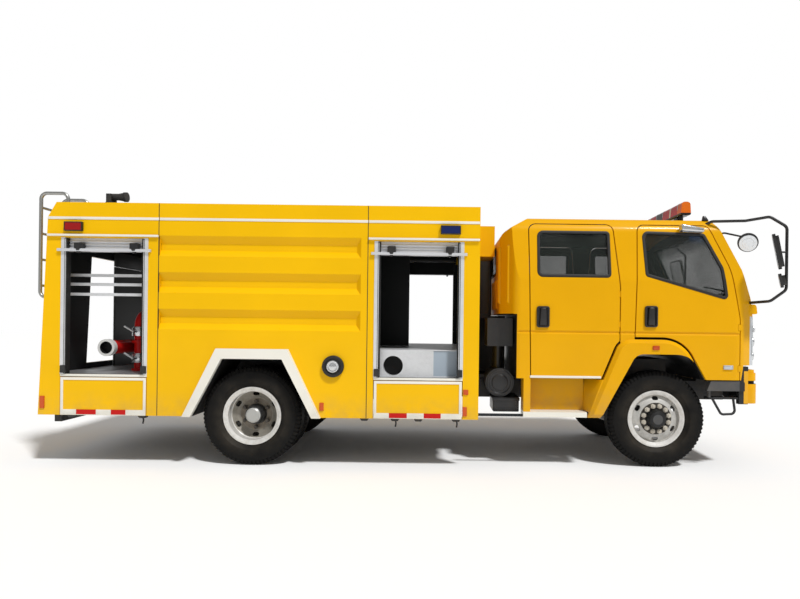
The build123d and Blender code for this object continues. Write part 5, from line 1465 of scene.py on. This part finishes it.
class TRUCK_OT_front(Operator):
    """Wipers, bumper lamps, the bright trim over the grille and the instrument hood"""

    bl_idname = "truck.front"
    bl_label = "Front fittings"

    # Y of a wiper's pivot and of its blade's far end
    WIPERS = ((-0.62, -0.05), (-0.02, 0.55))
    PIVOT_Z = 1.735
    # Y and Z of the right-hand bumper lamp
    FOG_LAMP = (-0.690, 0.755)
    FOG_R = 0.058
    # Corners of the instrument hood
    HOOD = ((4.590, 0.360, 1.630), (4.720, 0.640, 1.715))

    def over_screen(self, y, z, lift):
        place = on_front(y, z, "cab_glass", "cab_shell")[0]
        return place + Vector((lift, 0, 0))

    def execute(self, context):
        parts = []
        for pivot, end in self.WIPERS:
            reach = end - pivot
            arm = rod("arm", [self.over_screen(pivot, self.PIVOT_Z, 0.020),
                              self.over_screen(pivot + reach * 0.12, self.PIVOT_Z + 0.045, 0.036),
                              self.over_screen(pivot + reach * 0.62, self.PIVOT_Z + 0.115, 0.030)], 0.007,
                      0.015)
            blade = rod("blade", [self.over_screen(pivot + reach * 0.18, self.PIVOT_Z + 0.080, 0.018),
                                  self.over_screen(pivot + reach * 0.6, self.PIVOT_Z + 0.115, 0.018),
                                  self.over_screen(end, self.PIVOT_Z + 0.150, 0.018)], 0.008, 0.05)
            foot = drum("pivot", self.over_screen(pivot, self.PIVOT_Z, 0.006), 0.022, 0.030, "X", 24)
            parts += [arm, blade, soften(foot, 0.006)]
        fit(joined("wipers", parts), "plastic")
        lamp = drum("fog_lamp", (0, 0, -0.004), self.FOG_R, 0.036, "Z", 40)
        inset(lamp, toward("Z", 1), 0.009, -0.012)
        inset(lamp, toward("Z", 1, 0.004), 0.006, 0.006)
        fit_both(aimed(soften(lamp, 0.002), on_front(*self.FOG_LAMP, "front_bumper")), "clear_lens")
        low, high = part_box("grille")
        bar = block("grille_trim", (high.x - 0.030, low.y + 0.01, high.z - 0.006),
                    (high.x - 0.002, high.y - 0.01, high.z + 0.004))
        fit(soften(bar, 0.003), "chrome")
        low, high = self.HOOD
        hood = run_block("instrument_hood", low, high)
        taper(hood, toward("X", 1), (1, 0.9, 0.35), (along(high[0]), (low[1] + high[1]) / 2, low[2]))
        soften(hood, 0.014, 3)
        fit(inset(hood, toward("X", -1, 0.005), 0.012, -0.020), "plastic")
        return {"FINISHED"}


class TRUCK_OT_seats(Operator):
    """Padded seat cushions, backs and the rear bench"""

    bl_idname = "truck.seats"
    bl_label = "Seats"

    VOXEL = 0.014
    SWELL = 0.022
    SHRINK = 0.014
    FRAMES = 20
    PRESSURE = 4
    FRONT_YS = (-0.56, 0.0, 0.52)
    PLINTH = ((2.70, -0.870, 0.952), (3.135, 0.870, 1.236))
    # Base under each front seat, round Y 0
    BASE = ((3.812, -0.200, 1.206), (3.936, 0.200, 1.318))
    # Piece, low corner and high corner round Y 0
    FRONT = (("seat_cushion", (3.935, -0.228, 1.212), (4.328, 0.228, 1.398)),
             ("seat_back", (3.802, -0.228, 1.310), (3.928, 0.228, 1.998)))
    BENCH = (("bench_cushion", (2.825, -0.876, 1.232), (3.148, 0.876, 1.378)),
             ("bench_back", (2.694, -0.876, 1.310), (2.818, 0.876, 1.978)))

    def execute(self, context):
        for name, low, high in self.FRONT:
            first = self.cushion(name, low, high)
            for i, y in enumerate(self.FRONT_YS):
                self.seat(copied(first, f"{name}_{i + 1}", (0, y, 0)))
            discard(first)
        for name, low, high in self.BENCH:
            self.seat(self.cushion(name, low, high))
        plinth = run_block("bench_plinth", *self.PLINTH)
        inset(plinth, toward("X", 1), 0.030, -0.010)
        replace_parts(fit(soften(plinth, 0.010), "plastic"), "seats")
        bases = []
        (x0, y0, z0), (x1, y1, z1) = self.BASE
        for y in self.FRONT_YS:
            base = run_block("base", (x0, y + y0, z0), (x1, y + y1, z1))
            bases.append(soften(base, 0.012))
        fit(joined("seat_bases", bases), "plastic")
        return {"FINISHED"}

    def seat(self, piece):
        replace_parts(fit(piece, "cloth", smooth=80), "seats")

    def cushion(self, name, low, high):
        """A rounded pad, blown up under its cover, flat where it rests."""
        low, high = Vector((along(low[0]), *low[1:])), Vector((along(high[0]), *high[1:]))
        margin = Vector((self.SHRINK,) * 3)
        piece = soften(block(name, low + margin, high - margin), 0.035, 4)
        alone(piece)
        piece.data.remesh_voxel_size = self.VOXEL
        bpy.ops.object.voxel_remesh()
        rest = [v.co.copy() for v in piece.data.vertices]
        self.blow(piece, low.z)
        for vertex, home in zip(piece.data.vertices, rest):
            move = vertex.co - home
            if move.length > self.SWELL:
                vertex.co = home + move * (self.SWELL / move.length)
        smooth = piece.modifiers.new("smooth", "SUBSURF")
        smooth.levels = 1
        smooth.render_levels = 1
        alone(piece)
        bpy.ops.object.modifier_apply(modifier="smooth")
        return piece

    def blow(self, piece, floor):
        pins = piece.vertex_groups.new(name="rest")
        pins.add([v.index for v in piece.data.vertices if v.co.z < floor + self.SHRINK + 0.004], 1.0,
                 "REPLACE")
        fill = piece.modifiers.new("fill", "CLOTH")
        fill.settings.use_pressure = True
        fill.settings.uniform_pressure_force = self.PRESSURE
        fill.settings.effector_weights.gravity = 0
        fill.settings.vertex_group_mass = "rest"
        for frame in range(1, self.FRAMES + 1):
            bpy.context.scene.frame_set(frame)
        alone(piece)
        bpy.ops.object.modifier_apply(modifier="fill")
        bpy.context.scene.frame_set(1)
        piece.vertex_groups.clear()


class TRUCK_OT_pump_room(Operator):
    """Gauges, knobs and hood of the pump panel, and lever valves on the delivery pipes"""

    bl_idname = "truck.pump_room"
    bl_label = "Pump room fittings"

    PANEL_X = -1.950
    GAUGE_R = 0.040
    GAUGE_YS = (0.19, 0.33, 0.47, 0.61)
    GAUGE_ZS = (1.695, 1.844)
    KNOB_Z = 1.4075
    HOOD_Y = (-0.020, 0.830)
    HOOD_Z = (2.044, 2.216)
    HOOD_T = 0.020
    VALVE_X = -1.330
    VALVE_Y = -0.640
    VALVE_ZS = (1.02, 1.30)

    def execute(self, context):
        rims, dials = [], []
        for y in self.GAUGE_YS:
            for z in self.GAUGE_ZS:
                rim = drum("rim", (along(self.PANEL_X), y, z), self.GAUGE_R + 0.006, 0.014, "X", 32)
                inset(rim, toward("X", -1), 0.008, -0.010)
                rims.append(soften(rim, 0.002))
                dial = drum("dial", (along(self.PANEL_X) + 0.004, y, z), self.GAUGE_R - 0.004, 0.006, "X", 32)
                dials.append(inset(dial, toward("X", -1), 0.028, 0.003))
        fit(joined("gauge_rims", rims), "chrome")
        fit(joined("gauge_dials", dials), "dial")
        knobs = []
        for y in self.GAUGE_YS:
            knob = drum("knob", (along(self.PANEL_X) - 0.020, y, self.KNOB_Z), 0.030, 0.030, "X", 12)
            inset(knob, toward("X", -1), 0.008, -0.004)
            knobs.append(soften(knob, 0.004))
        fit(joined("panel_knobs", knobs), "tape")
        self.valves()
        hood = run_block("panel_hood", (self.PANEL_X, self.HOOD_Y[0], self.HOOD_Z[0]),
                         (self.PANEL_X + self.HOOD_T, self.HOOD_Y[1], self.HOOD_Z[1]))
        pick(hood, toward("Z", -1))
        bpy.ops.mesh.inset(thickness=0.004, depth=0)
        bpy.ops.transform.translate(value=(0, 0, 0.004))
        close()
        # The hood wears the painted shade of the pump room
        fit(soften(hood, 0.004), "inside")
        return {"FINISHED"}

    def valves(self):
        """Lever valves on the delivery pipes, facing the side openings."""
        levers = []
        x, y = along(self.VALVE_X), self.VALVE_Y
        for z in self.VALVE_ZS:
            body = drum("valve", (x, y, z), 0.072, 0.090, "Z", 24)
            inset(body, toward("Z", 1), 0.012, 0.010)
            soften(body, 0.005)
            lever = rod("lever", [(x, y - 0.060, z), (x, y - 0.120, z), (x - 0.090, y - 0.140, z + 0.06)],
                        0.011, 0.02)
            levers += [body, lever]
        fit_both(joined("delivery_valves", levers), "chrome")


class TRUCK_OT_monitor(Operator):
    """Nozzle ring on the monitor's barrel and bolts on its base"""

    bl_idname = "truck.monitor"
    bl_label = "Monitor fittings"

    BOLTS = 8
    RING_R = 0.075

    def execute(self, context):
        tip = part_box("monitor_barrel")[1].x
        centre = middle("monitor_barrel")
        ring = drum("nozzle_ring", (tip - 0.018, centre.y, centre.z), 0.0515, 0.032, "X", 40)
        inset(ring, toward("X", 1), 0.014, -0.020)
        fit(soften(ring, 0.003), "plastic", "monitor_barrel")
        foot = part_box("monitor_base")[0].z
        centre = middle("monitor_base")
        bolts = []
        for i in range(self.BOLTS):
            turn = math.tau * i / self.BOLTS
            spot = (centre.x + self.RING_R * math.cos(turn), centre.y + self.RING_R * math.sin(turn),
                    foot + 0.024)
            bolts.append(soften(drum("bolt", spot, 0.010, 0.014, "Z", 6), 0.002, 1))
        fit(joined("monitor_bolts", bolts), "chrome")
        return {"FINISHED"}


class TRUCK_OT_stage(Operator):
    """Floor, soft light, white surround and the photograph's camera"""

    bl_idname = "truck.stage"
    bl_label = "Stage"

    FLOOR_SIZE = 120
    SUN_TURN = (math.radians(30), math.radians(18), math.radians(10))
    SUN_SPREAD = math.radians(6)

    def execute(self, context):
        studio = context.scene.truck_studio
        bpy.ops.object.select_all(action="DESELECT")
        bpy.ops.mesh.primitive_plane_add(size=self.FLOOR_SIZE)
        floor = context.object
        floor.name = "floor"
        ground = Finish("floor_white", roughness=0.9, base_color=(0.96, 0.96, 0.955))
        floor.data.materials.append(ground.material)
        bpy.ops.object.light_add(type="SUN", rotation=self.SUN_TURN)
        context.object.data.energy = studio.sun
        context.object.data.angle = self.SUN_SPREAD
        self.surround(context, studio.sky)
        bpy.ops.object.camera_add(location=(studio.camera_x, studio.camera_y, studio.camera_z),
                                  rotation=(math.pi / 2, -studio.camera_roll, 0))
        camera = context.object.data
        camera.sensor_width = SENSOR_MM
        camera.lens = SENSOR_MM * PHOTO_FOCAL / PHOTO_W
        camera.shift_x = (PHOTO_W / 2 - PHOTO_AXIS[0]) / PHOTO_W
        camera.shift_y = (PHOTO_AXIS[1] - PHOTO_H / 2) / PHOTO_W
        context.scene.camera = context.object
        context.scene.view_settings.view_transform = "Standard"
        return {"FINISHED"}

    def surround(self, context, strength):
        world = bpy.data.worlds.new("surround")
        context.scene.world = world
        world.use_nodes = True
        tree = world.node_tree
        rays = tree.nodes.new("ShaderNodeLightPath")
        seen = tree.nodes.new("ShaderNodeMath")
        seen.operation = "MAXIMUM"
        tree.links.new(rays.outputs["Is Camera Ray"], seen.inputs[0])
        tree.links.new(rays.outputs["Is Transmission Ray"], seen.inputs[1])
        level = tree.nodes.new("ShaderNodeMapRange")
        level.inputs["To Min"].default_value = strength
        tree.links.new(seen.outputs[0], level.inputs["Value"])
        tree.links.new(level.outputs[0], tree.nodes["Background"].inputs["Strength"])
        tree.nodes["Background"].inputs["Color"].default_value = (1, 1, 1, 1)


class TRUCK_PT_panel(Panel):
    """Buttons for the truck's pieces"""

    bl_label = "Fire Truck"
    bl_space_type = "VIEW_3D"
    bl_region_type = "UI"
    bl_category = "Fire Truck"

    def draw(self, context):
        for operator in OPERATORS:
            self.layout.operator(operator.bl_idname)


OPERATORS = (TRUCK_OT_finishes, TRUCK_OT_tyres, TRUCK_OT_wheels, TRUCK_OT_windows, TRUCK_OT_doors,
             TRUCK_OT_body_trim, TRUCK_OT_chassis, TRUCK_OT_flaps, TRUCK_OT_shutters, TRUCK_OT_lamps,
             TRUCK_OT_mirrors,
             TRUCK_OT_front, TRUCK_OT_seats, TRUCK_OT_pump_room, TRUCK_OT_monitor, TRUCK_OT_stage)
GROUPS = {"truck_paint": TruckPaint, "truck_trim": TruckTrim, "truck_studio": TruckStudio}
CLASSES = (*GROUPS.values(), *OPERATORS, TRUCK_PT_panel)


def register():
    for cls in CLASSES:
        bpy.utils.register_class(cls)
    for name, group in GROUPS.items():
        setattr(bpy.types.Scene, name, PointerProperty(type=group))


def unregister():
    for name in GROUPS:
        delattr(bpy.types.Scene, name)
    for cls in reversed(CLASSES):
        bpy.utils.unregister_class(cls)


def main():
    register()
    for operator in OPERATORS:
        group, name = operator.bl_idname.split(".")
        getattr(getattr(bpy.ops, group), name)()


if __name__ == "__main__":
    main()
